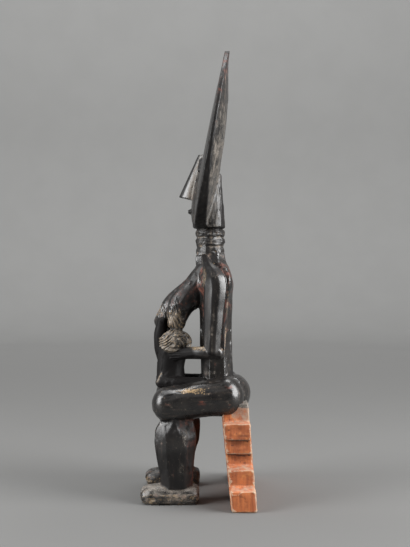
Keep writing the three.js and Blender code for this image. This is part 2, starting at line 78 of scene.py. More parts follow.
LEG_SPACING = 90
THIGH_WIDTH = 46
KNEE_THICKNESS = 43
KNEE_DROP = 6.5
HIP_THICKNESS = 50
KNEE_FRONT = -56
THIGH_REAR = 56
BUTTOCK_REAR = 66.5
SHIN_WIDTH = 36
SHIN_DEPTH = 51
SHIN_CENTRE = -27
FOOT_WIDTH = 34
FOOT_LENGTH = 72
FOOT_HEEL = 2
FOOT_HEIGHT = 23
TOE_COUNT = 5

TRUNK_DEPTH = 41
TRUNK_REAR = 43
WAIST_WIDTH = 54
SHOULDER_WIDTH = 96

ARM_SPACING = 104
ARM_WIDTH = 24
ARM_DEPTH = 24
ARM_CENTRE = 18.5
ELBOW_HEIGHT = 183
FOREARM_THICKNESS = 15
FOREARM_LENGTH = 55
RIGHT_FOREARM_LENGTH = 70
RIGHT_FOREARM_DROP = 8

BREAST_WIDTH = 32
BREAST_THICKNESS = 36.5
BREAST_SPACING = 28
BREAST_DROP = 85
BREAST_REACH = 58

NECK_CENTRE = 15.4
NECK_RADIUS = 16.3
RING_RADIUS = 19.5

DISC_WIDTH = 178
DISC_LEAN = 11.3
DISC_CHIN = -10.8
DISC_THICKNESS = 25
DISC_TIP_THICKNESS = 6.5
RIM_THICKNESS = 4.8
RIM_CHIN_THICKNESS = 15
RIM_BEVEL = 5.5

FACE_WIDTH = 66
FACE_HEIGHT = 90
FACE_RISE = 4.5
NOSE_LENGTH = 54
NOSE_PROJECTION = 21.5
NOSE_WIDTH = 24
SKULL_WIDTH = 42
SKULL_HEIGHT = 66

CHILD_BODY_HEIGHT = 44
CHILD_BODY_WIDTH = 36
CHILD_BODY_DEPTH = 37
CHILD_BACK = -53
CHILD_HEAD_LENGTH = 41
CHILD_HEAD_WIDTH = 37
CHILD_HEAD_HEIGHT = 30
CHILD_LEG_LENGTH = 55
CHILD_LIMB_THICKNESS = 15
CHILD_SHIFT = 8

TRUNK_TOP = SEAT_HEIGHT + TRUNK_LENGTH
NECK_TOP = TRUNK_TOP + RING_COUNT * RING_PITCH
THIGH_AXIS = SEAT_HEIGHT + HIP_THICKNESS / 2
LAP_HEIGHT = SEAT_HEIGHT + 0.78 * HIP_THICKNESS
SHIFT = np.array([0, cad_high[1] / MM - STOOL_REAR, 0])

# Where the finer carving lies: nose, eyes and mouth (shares are of the plate's height), the ends
# of the breasts, the trunk's rear arris (how far back at one height, and its lean) and the
# child's jaw.
NOSE_ROOT = NECK_TOP + 0.42 * DISC_HEIGHT
EYE_SPACING = 0.48 * FACE_WIDTH
EYE_SHARE = 0.26
MOUTH_SHARE = 0.095
LEFT_BREAST_END = (18, -27, 221)
RIGHT_BREAST_END = (-16, -40, 226)
TRUNK_ARRIS = 33.2
TRUNK_ARRIS_HEIGHT = 192
TRUNK_ARRIS_LEAN = 0.055
CHILD_JAW_DROP = 10
CHILD_JAW_CURVE = 0.014

# The grids that fuse the pieces, and the size to which a mesh is thinned.
VOXEL = 1.2
BODY_VOXEL = 1.0
MOST_TRIANGLES = 195000

# Sections of the carved limbs, as corners in half sizes: outward, then along the limb's depth.
ARM_CORNERS = (
    (1, 0.28), (0.14, 1), (-0.4, 1), (-1, 0.4), (-1, -0.5), (-0.6, -1), (0.62, -1), (1, -0.36),
)
SHIN_CORNERS = (
    (1, 0.45), (0.5, 1), (-0.5, 1), (-1, 0.45), (-1, -0.46), (-0.55, -1), (0.55, -1), (1, -0.46),
)
SHIN_APEX = 0.18
BAR_CORNERS = (
    (1, 0.4), (0.5, 1), (-0.5, 1), (-1, 0.4), (-1, -0.4), (-0.5, -1), (0.5, -1), (1, -0.4),
)

# The shares of the finish that each point carries: hollow or proud relief, bare wood, a grey
# dusting that also carries painted light, red and tan wear, where the tan also carries painted
# highlights, painted shade that also dulls the gloss, and grain that runs forward instead of
# upright.
FINISH = ("hollow", "edge", "bare", "dust", "worn", "tan", "soot", "across")

# The section of a foot over its sole, in half widths and heights, and its rows from toe to
# heel: share of the length, half width, rise of the sole and height of the top, all as shares.
FOOT_SECTION = (
    (-0.86, 0), (-1, 0.2), (-1, 0.52), (-0.76, 0.84), (0, 1),
    (0.76, 0.84), (1, 0.52), (1, 0.2), (0.86, 0),
)
FOOT_ROWS = (
    (0, 0.3, 0.4, 0.6), (0.02, 0.55, 0.2, 0.72), (0.07, 0.78, 0.06, 0.84),
    (0.16, 0.92, 0.01, 0.92), (0.3, 1, 0, 0.98), (0.6, 1, 0, 1), (0.82, 0.95, 0, 1),
    (0.93, 0.84, 0.03, 0.95), (0.985, 0.62, 0.16, 0.84), (1, 0.36, 0.34, 0.68),
)


def unit(vectors):
    return vectors / np.maximum(np.linalg.norm(vectors, axis=-1, keepdims=True), 1e-9)


def ramp(low, high, value):
    """0 up to low, 1 from high on and smooth between; it falls instead where low > high."""
    share = np.clip((value - low) / (high - low), 0, 1)
    return share * share * (3 - 2 * share)


def spline(points, shares):
    """The centripetal curve that the solids use, through all the points."""
    points = np.asarray(points, float)
    spans = len(points) - 1
    padded = np.vstack([2 * points[0] - points[1], points, 2 * points[-1] - points[-2]])
    place = np.clip(np.asarray(shares, float), 0, 1) * spans
    first = np.minimum(place.astype(int), spans - 1)
    w = (place - first)[:, None]
    p0, p1, p2, p3 = (padded[first + k] for k in range(4))
    pairs = (p0, p1), (p1, p2), (p2, p3)
    d0, d1, d2 = (np.sqrt(np.linalg.norm(b - a, axis=1))[:, None] for a, b in pairs)
    d1 = np.where(d1 < 1e-4, 1, d1)
    d0 = np.where(d0 < 1e-4, d1, d0)
    d2 = np.where(d2 < 1e-4, d1, d2)
    t1 = ((p1 - p0) / d0 - (p2 - p0) / (d0 + d1) + (p2 - p1) / d1) * d1
    t2 = ((p2 - p1) / d1 - (p3 - p1) / (d1 + d2) + (p3 - p2) / d2) * d1
    return p1 + t1 * w + (3 * (p2 - p1) - 2 * t1 - t2) * w**2 + (2 * (p1 - p2) + t1 + t2) * w**3


def skin(rings):
    """Vertices and faces of a closed skin over equal rings, with a point at each end."""
    rings = np.asarray(rings)
    count, sides = rings.shape[:2]
    points = np.vstack([rings.reshape(-1, 3), rings[0].mean(0), rings[-1].mean(0)])
    side = np.arange(sides)
    following = (side + 1) % sides
    faces = []
    for ring in range(count - 1):
        a, b = ring * sides + side, ring * sides + following
        faces += np.stack([a, b, b + sides, a + sides], axis=1).tolist()
    last = (count - 1) * sides
    pairs = list(zip(side.tolist(), following.tolist()))
    faces += [[count * sides, b, a] for a, b in pairs]
    faces += [[count * sides + 1, last + a, last + b] for a, b in pairs]
    return points, faces


def circle(count):
    """Cosines and sines of equal steps round a circle."""
    angle = np.arange(count) / count * 2 * math.pi
    return np.cos(angle), np.sin(angle)


def section(sides, power, corners=None):
    """A section of half size 1, round or with worn facets."""
    if corners is None:
        cos, sin = circle(sides)
        reach = (np.abs(cos) ** power + np.abs(sin) ** power) ** (-1 / power)
        return np.stack([reach * cos, reach * sin], axis=1)
    closed = np.array([*corners, corners[0]], float)
    along = np.concatenate([[0], np.cumsum(np.linalg.norm(np.diff(closed, axis=0), axis=1))])
    place = np.arange(sides) / sides * along[-1]
    points = np.stack([np.interp(place, along, closed[:, k]) for k in range(2)], axis=1)
    return 0.25 * np.roll(points, 1, 0) + 0.5 * points + 0.25 * np.roll(points, -1, 0)


def limb(stations, sides=64, power=2.2, steps=40, ends=(1, 1), corners=None, side=1):
    """A limb with domed ends along stations of x, y, z and two half sizes."""
    stations = np.array(stations, float)
    centres, halves = stations[:, :3], stations[:, 3:]

    def ring(share, push, shrink):
        facets = corners(share) if callable(corners) else corners
        shape = section(sides, power, facets) * [side, 1]
        share = np.array([share])
        along = unit(spline(centres, share + 1e-4) - spline(centres, share - 1e-4))[0]
        across = unit(np.array([1.0, 0, 0]) - along * along[0])
        through = np.cross(along, across)
        half = spline(halves, share)[0]
        centre = spline(centres, share)[0] + along * push * half[1]
        around = shape[:, :1] * half[0] * across + shape[:, 1:] * half[1] * through
        return centre + shrink * around

    bends = np.radians(np.linspace(80, 10, 8))
    start = [ring(0, -math.sin(bend) * ends[0], math.cos(bend)) for bend in bends]
    middle = [ring(step / steps, 0, 1) for step in range(steps + 1)]
    end = [ring(1, math.sin(bend) * ends[1], math.cos(bend)) for bend in bends[::-1]]
    return skin(start + middle + end)


def ball(centre, half, columns=48, rows=32):
    cos, sin = circle(columns)
    rings = []
    for row in range(1, rows):
        turn = math.pi * row / rows
        level = np.full(columns, -math.cos(turn))
        ring = np.stack([cos * math.sin(turn), sin * math.sin(turn), level], axis=1)
        rings.append(ring * half + centre)
    return skin(rings)


def stool():
    """A leaning slab whose ends are cut in steps, with chamfered edges."""
    right = [(width / 2, share * SEAT_HEIGHT) for width, share in STOOL_LEVELS]
    outline = np.array(right + [(-x, z) for x, z in right[::-1]])
    before = unit(outline - np.roll(outline, 1, 0))
    after = unit(np.roll(outline, -1, 0) - outline)
    inward = np.stack([-before[:, 1], before[:, 0]], 1), np.stack([-after[:, 1], after[:, 0]], 1)
    mitre = (inward[0] + inward[1]) / (1 + (inward[0] * inward[1]).sum(1))[:, None]
    inset = outline + mitre * STOOL_EDGE
    rings = []
    for depth, shape in (
        (0, inset), (STOOL_EDGE, outline),
        (STOOL_THICKNESS - STOOL_EDGE, outline), (STOOL_THICKNESS, inset),
    ):
        lean = STOOL_REAR_LEAN + depth / STOOL_THICKNESS * (STOOL_FRONT_LEAN - STOOL_REAR_LEAN)
        y = STOOL_REAR - depth - math.tan(math.radians(lean)) * shape[:, 1]
        rings.append(np.stack([shape[:, 0], y, shape[:, 1]], axis=1))
    count = len(outline)
    faces = [list(range(count)), [3 * count + k for k in range(count)][::-1]]
    for ring in range(3):
        for side in range(count):
            a, b = ring * count + side, ring * count + (side + 1) % count
            faces.append([b, a, a + count, b + count])
    return np.vstack(rings), faces


def pelvis():
    half = 0.48 * HIP_THICKNESS
    front = BUTTOCK_REAR - 2.6 * half
    return limb(
        [
            (0, front, THIGH_AXIS - 0.08 * half, LEG_SPACING / 2, 0.86 * half),
            (0, front + 0.9 * half, THIGH_AXIS - 0.04 * half, LEG_SPACING / 2, half),
            (0, BUTTOCK_REAR - 0.95 * half, THIGH_AXIS - 0.08 * half, 0.42 * LEG_SPACING, half),
        ],
        ends=(0.4, 0.95),
    )


def thigh(side):
    x = side * LEG_SPACING / 2
    wide = THIGH_WIDTH / 2
    knee = KNEE_THICKNESS / 2
    hip = HIP_THICKNESS / 2
    knee_axis = SEAT_HEIGHT - KNEE_DROP + knee
    dip = (0.12 if side > 0 else 0.24) * hip
    length = THIGH_REAR - KNEE_FRONT
    start = KNEE_FRONT + 0.9 * knee
    return limb(
        [
            (x, start, knee_axis, 0.92 * wide, knee),
            (x, start + 0.18 * length, knee_axis + 0.1 * knee, 0.95 * wide, knee),
            (x, start + 0.4 * length, THIGH_AXIS - dip, wide, 0.48 * (knee + hip)),
            (x, THIGH_REAR - 0.9 * hip, THIGH_AXIS, wide, hip),
        ],
        ends=(0.9, 0.9),
    )


def shin_corners(share):
    """The outer and inner facets taper to a point under the knee."""
    widen = min(max((share - 0.14) / 0.28, 0.12), 1)
    return [
        (out, through if abs(out) < 1 else SHIN_APEX + widen * (through - SHIN_APEX))
        for out, through in SHIN_CORNERS
    ]


def shin(side):
    x = side * LEG_SPACING / 2
    wide = SHIN_WIDTH / 2
    deep = SHIN_DEPTH / 2
    calf = 0 if side > 0 else 0.1 * deep
    stations = []
    for drop, shift, width, depth in (
        (-0.06, 0.08 * deep, 0.8, 0.7 * deep),
        (0.1, 0.06 * deep, 0.88, 0.82 * deep),
        (0.27, calf, 1, deep + calf / 2),
        (0.5, calf, 0.97, 0.96 * deep + calf / 2),
        (0.8, 0.04 * deep, 0.88, 0.81 * deep),
        (1.04, 0.06 * deep, 0.84, 0.75 * deep),
    ):
        height = SEAT_HEIGHT - drop * (SEAT_HEIGHT - FOOT_HEIGHT)
        stations.append((x, SHIN_CENTRE + shift, height, width * wide, depth))
    return limb(stations, sides=96, ends=(0.2, 0.1), corners=shin_corners, side=side)


def foot(side):
    """A thick, blunt foot whose sole rises a little at both ends."""
    x = side * LEG_SPACING / 2
    toe = FOOT_HEEL - FOOT_LENGTH
    outline = spline(FOOT_SECTION, np.linspace(0, 1, 41))
    rings = []
    for share, width, low, high in spline(FOOT_ROWS, np.linspace(0, 1, 50)):
        half = 0.5 * FOOT_WIDTH * width
        up = (max(low, 0) + outline[:, 1] * (high - max(low, 0))) * FOOT_HEIGHT
        y = np.full(len(up), toe + share * FOOT_LENGTH)
        rings.append(np.stack([x + outline[:, 0] * half, y, np.maximum(up, 0)], axis=1))
    return skin(rings)


def trunk_corners(share):
    """The rear arrises lie further back at the shoulders than at the waist."""
    arris = 0.47 + 0.36 * ramp(0.3, 0.68, share) * (1 - ramp(0.74, 0.92, share))
    return [
        (1, arris), (0.93, arris + 0.1), (0.5, 1), (-0.5, 1), (-0.93, arris + 0.1), (-1, arris),
        (-1, -0.45), (-0.55, -1), (0.55, -1), (1, -0.45),
    ]


def trunk():
    stations = []
    for share, width, front, rear in (
        (0.1, 1.2 * WAIST_WIDTH, 0, 0.07),
        (0.24, 1.06 * WAIST_WIDTH, 0.04, 0.035),
        (0.45, WAIST_WIDTH, 0, 0),
        (0.62, 0.7 * SHOULDER_WIDTH, -0.01, 0),
        (0.74, 0.86 * SHOULDER_WIDTH, -0.05, 0.01),
        (0.82, SHOULDER_WIDTH, -0.1, 0.025),
        (0.89, 0.87 * SHOULDER_WIDTH, -0.12, -0.07),
        (0.955, 0.5 * SHOULDER_WIDTH, -0.12, -0.18),
    ):
        middle = TRUNK_REAR + (0.5 * (front + rear) - 0.5) * TRUNK_DEPTH
        half = 0.5 * (1 + rear - front) * TRUNK_DEPTH
        stations.append((0, middle, SEAT_HEIGHT + share * TRUNK_LENGTH, width / 2, half))
    neck_half = 0.95 * RING_RADIUS
    stations.append((0, NECK_CENTRE, TRUNK_TOP + 0.1 * RING_PITCH, neck_half, neck_half))
    return limb(stations, sides=200, steps=60, ends=(0.3, 0.1), corners=trunk_corners)


def arm(side):
    x = side * ARM_SPACING / 2
    wide = ARM_WIDTH / 2
    deep = ARM_DEPTH / 2
    stations = []
    for out, shift, drop, width, depth in (
        (0.26, -0.75, 0.06, 0.8, 0.34),
        (0.64, -0.5, 0.13, 1, 0.55),
        (0.87, 0.15, 0.28, 1, 1.14),
        (0.95, 0.05, 0.6, 0.9, 0.98),
        (1, -0.14, 1, 0.82, 0.82),
    ):
        height = TRUNK_TOP - drop * (TRUNK_TOP - ELBOW_HEIGHT)
        y = ARM_CENTRE + shift * deep
        stations.append((out * x, y, height, width * wide, depth * deep))
    return limb(
        stations, sides=96, steps=60, ends=(0.4, 0.5), corners=ARM_CORNERS, side=side
    )


def forearm(side):
    left = side > 0
    x = side * ARM_SPACING / 2
    half = FOREARM_THICKNESS / 2
    length = FOREARM_LENGTH if left else RIGHT_FOREARM_LENGTH
    height = ELBOW_HEIGHT - 0.07 * FOREARM_THICKNESS - (0 if left else RIGHT_FOREARM_DROP)
    wrist, hand = (0.74, 0.42) if left else (0.72, 0.3)
    sink = (0.35 if left else -0.13) * FOREARM_THICKNESS
    elbow = ARM_CENTRE + 0.47 * FOREARM_THICKNESS
    return limb(
        [
            (0.98 * x, elbow, height, 1.1 * half, half),
            (0.94 * x, elbow - 0.32 * length, height, 1.1 * half, half),
            (wrist * x, elbow - 0.66 * length, height - 0.2 * sink, half, 0.95 * half),
            (hand * x, elbow - length, height - sink, 0.9 * half, 0.85 * half),
        ],
        sides=64, ends=(0.9, 0.9), corners=BAR_CORNERS,
    )


def breast(side):
    x = side * BREAST_SPACING / 2
    wide = BREAST_WIDTH / 2
    thick = BREAST_THICKNESS / 2
    root = NECK_CENTRE - 0.05 * BREAST_REACH
    upper, lower, tip = (0.28, 0.58, 0.68) if side > 0 else (0.3, 0.7, 0.97)
    blunt = 0.6 if side > 0 else 0.72
    stations = []
    for out, reach, drop, width, thickness in (
        (0.8, 0, 0.24, 1, 0.9), (1, upper, 0.52, 1, 1),
        (1, lower, 0.74, 1, 0.92), (1, tip, 1, 0.75, blunt),
    ):
        y, height = root - reach * BREAST_REACH, TRUNK_TOP - drop * BREAST_DROP
        stations.append((out * x, y, height, width * wide, thickness * thick))
    return limb(stations, ends=(0.3, 0.9))


def neck():
    sides = 64
    cos, sin = circle(sides)
    rings = []
    for height in np.linspace(TRUNK_TOP - RING_PITCH / 2, NECK_TOP + RING_PITCH, 90):
        turn = (height - TRUNK_TOP) / RING_PITCH
        swell = abs(math.sin(math.pi * turn)) ** 0.6 if 0 <= turn <= RING_COUNT else 0
        radius = NECK_RADIUS + swell * (RING_RADIUS - NECK_RADIUS)
        if turn < 0:
            radius = 0.95 * RING_RADIUS
        level = np.full(sides, height)
        rings.append(np.stack([radius * cos, NECK_CENTRE + radius * sin, level], axis=1))
    return skin(rings)


def plate_front(share):
    return DISC_CHIN + share * DISC_HEIGHT * math.tan(math.radians(DISC_LEAN))


def plate_thickness(share):
    return DISC_TIP_THICKNESS + (DISC_THICKNESS - DISC_TIP_THICKNESS) * (1 - share**2.6)


def plate_rim(share):
    chin = (RIM_CHIN_THICKNESS - RIM_THICKNESS) * np.maximum(0, 1 - share / 0.5) ** 1.6
    tip = (DISC_TIP_THICKNESS - RIM_THICKNESS) * np.maximum(0, (share - 0.75) / 0.25) ** 2
    return RIM_THICKNESS + chin + tip


def head_plate():
    cos, sin = circle(160)
    radii = np.concatenate([np.linspace(0.04, 0.9, 30), np.linspace(0.92, 1, 6)])

    def ring(radius, is_back):
        share = 0.5 + 0.5 * radius * sin
        bevel = RIM_BEVEL * (1 - share**2)
        rim = plate_rim(share)
        swell = (plate_thickness(share) - bevel - rim) * (1 - radius**4)
        depth = bevel + rim + swell if is_back else bevel * max(0, (radius - 0.6) / 0.4) ** 2
        x = 0.5 * DISC_WIDTH * radius * cos
        return np.stack([x, plate_front(share) + depth, NECK_TOP + share * DISC_HEIGHT], axis=1)

    back = [ring(radius, True) for radius in radii]
    return skin(back + [ring(radius, False) for radius in radii[::-1]])


def skull():
    rear = NECK_CENTRE + RING_RADIUS
    stations = []
    for share in (0, 0.3, 0.62, 1):
        half = 0.5 * SKULL_WIDTH * math.sqrt(1 - 0.97 * share**1.6)
        middle = rear - half - 0.1 * share * SKULL_WIDTH
        height = NECK_TOP + (0.03 + share) * SKULL_HEIGHT
        stations.append((0, middle, height, half, half))
    return limb(stations, ends=(0.2, 0.5))


def nose_rise(row):
    return NOSE_PROJECTION * (0.35 + 0.65 * row)


def nose():
    half_profile = [(1, 1), (0.86, 0.42), (0.46, 0.14), (0.2, 0)]
    profile = half_profile + [(-across, depth) for across, depth in half_profile[::-1]]
    rings = []
    for row in (0, 0.35, 0.7, 1):
        height = NOSE_ROOT - row * NOSE_LENGTH
        plate = plate_front((height - NECK_TOP) / DISC_HEIGHT)
        rise = nose_rise(row)
        half = 0.5 * NOSE_WIDTH * (0.55 + 0.45 * row)
        droop = 0.1 * NOSE_LENGTH if row == 1 else 0
        rings.append(
            [(across * half, plate - rise + depth * (rise + FACE_RISE), height - depth * droop)
             for across, depth in profile]
        )
    return skin(rings)


def on_plate(x, share, rise):
    return np.array([x, plate_front(share) - rise, NECK_TOP + share * DISC_HEIGHT])


def mask():
    half = np.array([FACE_WIDTH / 2, 2 * FACE_RISE, FACE_HEIGHT / 2])
    points, faces = ball(np.zeros(3), half, 64, 48)
    lean = -math.radians(DISC_LEAN)
    y = points[:, 1] * math.cos(lean) - points[:, 2] * math.sin(lean)
    z = points[:, 1] * math.sin(lean) + points[:, 2] * math.cos(lean)
    return np.stack([points[:, 0], y, z], axis=1) + on_plate(0, 0.22, -FACE_RISE), faces


def features():
    mouth = np.array([0.32 * NOSE_WIDTH, 1.1 * FACE_RISE, 0.7 * FACE_RISE])
    parts = [ball(on_plate(0, MOUTH_SHARE, 0.5 * FACE_RISE), mouth, 32, 24)]
    for side in (-1, 1):
        eye = np.array([0.12 * FACE_WIDTH, 0.8 * FACE_RISE, 0.06 * FACE_WIDTH])
        centre = on_plate(side * EYE_SPACING / 2, EYE_SHARE, 0.2 * FACE_RISE)
        parts.append(ball(centre, eye, 32, 24))
        brow = []
        for share in (0, 0.35, 0.7, 1):
            across = side * (0.06 + 0.36 * share) * FACE_WIDTH
            height = 0.37 + 0.03 * math.sin(share * math.pi) - 0.05 * share
            half = 0.05 * FACE_WIDTH
            brow.append((*on_plate(across, height, 0.25 * FACE_RISE), half, half))
        parts.append(limb(brow, sides=24, steps=24))
    return parts


def child_head():
    centre = np.array([
        CHILD_SHIFT + 0.32 * CHILD_HEAD_WIDTH,
        CHILD_BACK + CHILD_BODY_DEPTH / 2 + 0.16 * CHILD_HEAD_LENGTH,
        LAP_HEIGHT + CHILD_BODY_HEIGHT + 0.22 * CHILD_HEAD_HEIGHT,
    ])
    half = np.array([CHILD_HEAD_WIDTH / 2, CHILD_HEAD_LENGTH / 2, CHILD_HEAD_HEIGHT / 2])
    return centre, half


def child_body():
    x = CHILD_SHIFT
    wide = CHILD_BODY_WIDTH / 2
    deep = CHILD_BODY_DEPTH / 2
    thick = CHILD_LIMB_THICKNESS / 2
    middle = CHILD_BACK + deep
    waist = LAP_HEIGHT + 0.45 * CHILD_BODY_HEIGHT
    nape = LAP_HEIGHT + 0.88 * CHILD_BODY_HEIGHT
    body = [
        (x, middle, LAP_HEIGHT + 0.1 * deep, 1.05 * wide, 0.99 * deep),
        (x, middle, waist, 0.92 * wide, 0.96 * deep),
        (x, middle + 0.2 * deep, nape, 0.9 * wide, 0.98 * deep),
    ]
    arm_x = x - 0.6 * wide
    raised = [
        (arm_x, middle - 0.36 * deep, waist, thick, 1.25 * thick),
        (arm_x, middle - 0.62 * deep, nape, 1.2 * thick, 1.25 * thick),
        (arm_x, middle - 0.68 * deep, nape + 2.4 * thick, 1.2 * thick, 1.25 * thick),
        (arm_x, middle - 0.62 * deep, nape + 4.6 * thick, thick, 0.9 * thick),
    ]
    parts = [limb(body, power=2.3, ends=(0.5, 0.6)), limb(raised)]
    for side in (-1, 1):
        hip = CHILD_BACK + thick
        out = x + side * 1.02 * wide
        parts.append(limb([
            (x + side * 0.66 * wide, hip, LAP_HEIGHT, thick, thick),
            (out, hip + 0.42 * CHILD_LEG_LENGTH, LAP_HEIGHT, thick, thick),
            (out, hip + 0.9 * CHILD_LEG_LENGTH, LAP_HEIGHT, 0.8 * thick, 0.9 * thick),
        ]))
    return parts


def joined(parts):
    """Points and faces of closed skins, and for each face the name of its form."""
    points, faces, forms = [], [], []
    start = 0
    for form, (part_points, part_faces) in parts:
        points.append(part_points)
        faces += [[corner + start for corner in face] for face in part_faces]
        forms += [form] * len(part_faces)
        start += len(part_points)
    return np.vstack(points) + SHIFT, faces, np.array(forms)


def placed(name, data):
    thing = bpy.data.objects.new(name, data)
    bpy.context.scene.collection.objects.link(thing)
    return thing


def fused(name, points, faces, voxel):
    """One even, closed mesh from overlapping closed skins."""
    mesh = bpy.data.meshes.new(name)
    mesh.from_pydata((points * MM).tolist(), [], faces)
    piece = placed(name, mesh)
    remesh = piece.modifiers.new("fuse", "REMESH")
    remesh.mode = "VOXEL"
    remesh.voxel_size = voxel * MM
    remesh.use_smooth_shade = True
    applied(piece)
    return piece


def applied(piece):
    """Makes what the piece's modifiers show its own mesh."""
    graph = bpy.context.evaluated_depsgraph_get()
    before = piece.data
    result = bpy.data.meshes.new_from_object(piece.evaluated_get(graph))
    piece.modifiers.clear()
    piece.data = result
    bpy.data.meshes.remove(before)
    result.name = piece.name


def thinned(piece, most):
    """Merges the flattest faces until the piece has no more triangles than most."""
    triangles = sum(len(face.vertices) - 2 for face in piece.data.polygons)
    if triangles > most:
        piece.modifiers.new("thin", "DECIMATE").ratio = most / triangles
        applied(piece)
        piece.data.shade_smooth()


def read(collection, field, width, kind=np.float32):
    values = np.empty(len(collection) * width, dtype=kind)
    collection.foreach_get(field, values)
    return values.reshape(-1, width)


def refined(piece, inside):
    """Halves the edges of every face whose corners all lie inside."""
    work = bmesh.new()
    work.from_mesh(piece.data)
    edges = {
        edge for face in work.faces if all(inside[corner.index] for corner in face.verts)
        for edge in face.edges
    }
    edges = sorted(edges, key=lambda edge: edge.index)
    bmesh.ops.subdivide_edges(work, edges=edges, cuts=1, use_grid_fill=True)
    work.to_mesh(piece.data)
    work.free()


class Surface:
    """The points of a fused piece, in millimetres, with what carves and smooths them."""

    def __init__(self, piece):
        self.mesh = piece.data
        self.points = read(self.mesh.vertices, "co", 3).astype(float) / MM
        self.edges = read(self.mesh.edges, "vertices", 2, np.int32)
        self.degree = np.bincount(self.edges.ravel(), minlength=len(self.points))

    def average(self, values):
        flat = values.reshape(len(values), -1)
        ends, others = self.edges.ravel(), self.edges[:, ::-1].ravel()
        sums = [np.bincount(ends, flat[others, k], len(flat)) for k in range(flat.shape[1])]
        return (np.stack(sums, axis=1) / self.degree[:, None]).reshape(values.shape)

    def blurred(self, values, rounds):
        for _ in range(rounds):
            values = 0.5 * values + 0.5 * self.average(values)
        return values

    def relax(self, rounds):
        """Smooths the surface and gives back most of what plain smoothing would shrink."""
        for _ in range(rounds):
            self.points += 0.5 * (self.average(self.points) - self.points)
            self.points -= 0.52 * (self.average(self.points) - self.points)

    def normals(self):
        self.mesh.vertices.foreach_set("co", (self.points * MM).astype(np.float32).ravel())
        self.mesh.update()
        return read(self.mesh.vertex_normals, "vector", 3).astype(float)

    def xyz(self):
        return (self.points - SHIFT).T

    def push(self, amount):
        self.points += self.normals() * amount[:, None]

    def bend(self, rounds):
        """How hollow (positive) or proud (negative) the surface is, in millimetres."""
        return ((self.blurred(self.points, rounds) - self.points) * self.normals()).sum(axis=1)

    def cut_facets(self, spacing, depth, stretch, seed, weight):
        """Knife cuts: long flat facets, each a little tilted, that take a thin chip off."""
        random = np.random.default_rng(seed)
        stretch = np.array(stretch)
        points = self.points
        smooth = unit(self.blurred(self.normals(), 6))
        ends = points[self.edges]
        grid = np.median(np.linalg.norm(ends[:, 0] - ends[:, 1], axis=1))
        wanted = int(len(points) * grid**2 / spacing**2)
        picks = random.choice(len(points), wanted, replace=False)
        tilt = unit(smooth[picks] + 0.035 * random.standard_normal((wanted, 3)))
        sink = depth * random.uniform(0.3, 1, wanted)
        tree = KDTree(wanted)
        for number, place in enumerate(points[picks] * stretch):
            tree.insert(place, number)
        tree.balance()
        places = points * stretch
        near = np.array([[hit[1] for hit in tree.find_n(place, 5)] for place in places])
        offset = ((points[:, None] - points[picks][near]) * tilt[near]).sum(2) + sink[near]
        facing = (smooth[:, None] * tilt[near]).sum(2) > 0.8
        cut = np.clip(np.where(facing, offset, 0).max(1), 0, 1.6 * depth)
        self.points = points - smooth * (cut * weight)[:, None]

    def noise(self, size, seed, stretch=(1, 1, 1)):
        return noise(self.points * stretch, size, seed)

    def layers(self, size, seed):
        """Three layers of noise, each half the size and strength of the one before."""
        return sum(self.noise(size / 2**k, seed + k) / 2**k for k in range(3)) / 1.75

    def store(self, **shares):
        """Keeps the shares of the finish with the points, and 0 for those not given."""
        for name in FINISH:
            values = np.clip(shares.get(name, 0), 0, 1)
            layer = self.mesh.attributes.new(name, "FLOAT", "POINT")
            layer.data.foreach_set("value", np.full(len(self.points), values, np.float32))


def noise(points, size, seed):
    """Smooth noise between -1 and 1, with one bump about every size millimetres."""
    place = points / size + 31.7 * seed
    cell = np.floor(place).astype(np.int64)
    part = place - cell
    part = part * part * (3 - 2 * part)
    total = np.zeros(len(points))
    for corner in range(8):
        offset = np.array([corner & 1, corner >> 1 & 1, corner >> 2 & 1])
        key = (cell + offset) @ np.array([374761393, 668265263, 982451653]) + seed * 1274126177
        key = (key ^ (key >> 13)) * 1274126177 & 0x7FFFFFFF
        value = ((key ^ (key >> 16)) & 0xFFFF) / 32767.5 - 1
        total += value * np.where(offset, part, 1 - part).prod(axis=1)
    return total


def spot(points, centre, radii):
    """1 at the centre of a soft patch and 0 outside its radii."""
    away = np.linalg.norm((points - np.array(centre)) / np.array(radii), axis=1)
    return 1 - ramp(0.35, 1, away)


def bump(value, width):
    return np.exp(-((value / width) ** 2))


def breast_ends(points, left, right):
    return spot(points, LEFT_BREAST_END, left) + spot(points, RIGHT_BREAST_END, right)


def above_jaw(y, z):
    """How far a point lies over the line of the child's jaw, both from its head's centre."""
    return z + CHILD_JAW_DROP - CHILD_JAW_CURVE * y**2


def labels(surface, tree, forms):
    return forms[[tree.find_nearest(Vector(point))[2] for point in surface.points]]


def carve_toes(surface, is_foot):
    x, y, z = surface.xyz()
    toe = FOOT_HEEL - FOOT_LENGTH
    inner = np.abs(x) - LEG_SPACING / 2
    groove = np.zeros(len(x))
    for gap in range(1, TOE_COUNT):
        line = (gap / TOE_COUNT - 0.5) * 0.84 * FOOT_WIDTH
        groove = np.maximum(groove, bump(inner - line, 1.1))
    length = 1 - ramp(toe + 0.14 * FOOT_LENGTH, toe + 0.26 * FOOT_LENGTH, y)
    height = ramp(0.1 * FOOT_HEIGHT, 0.3 * FOOT_HEIGHT, z)
    surface.push(-2.4 * groove * length * height * is_foot)


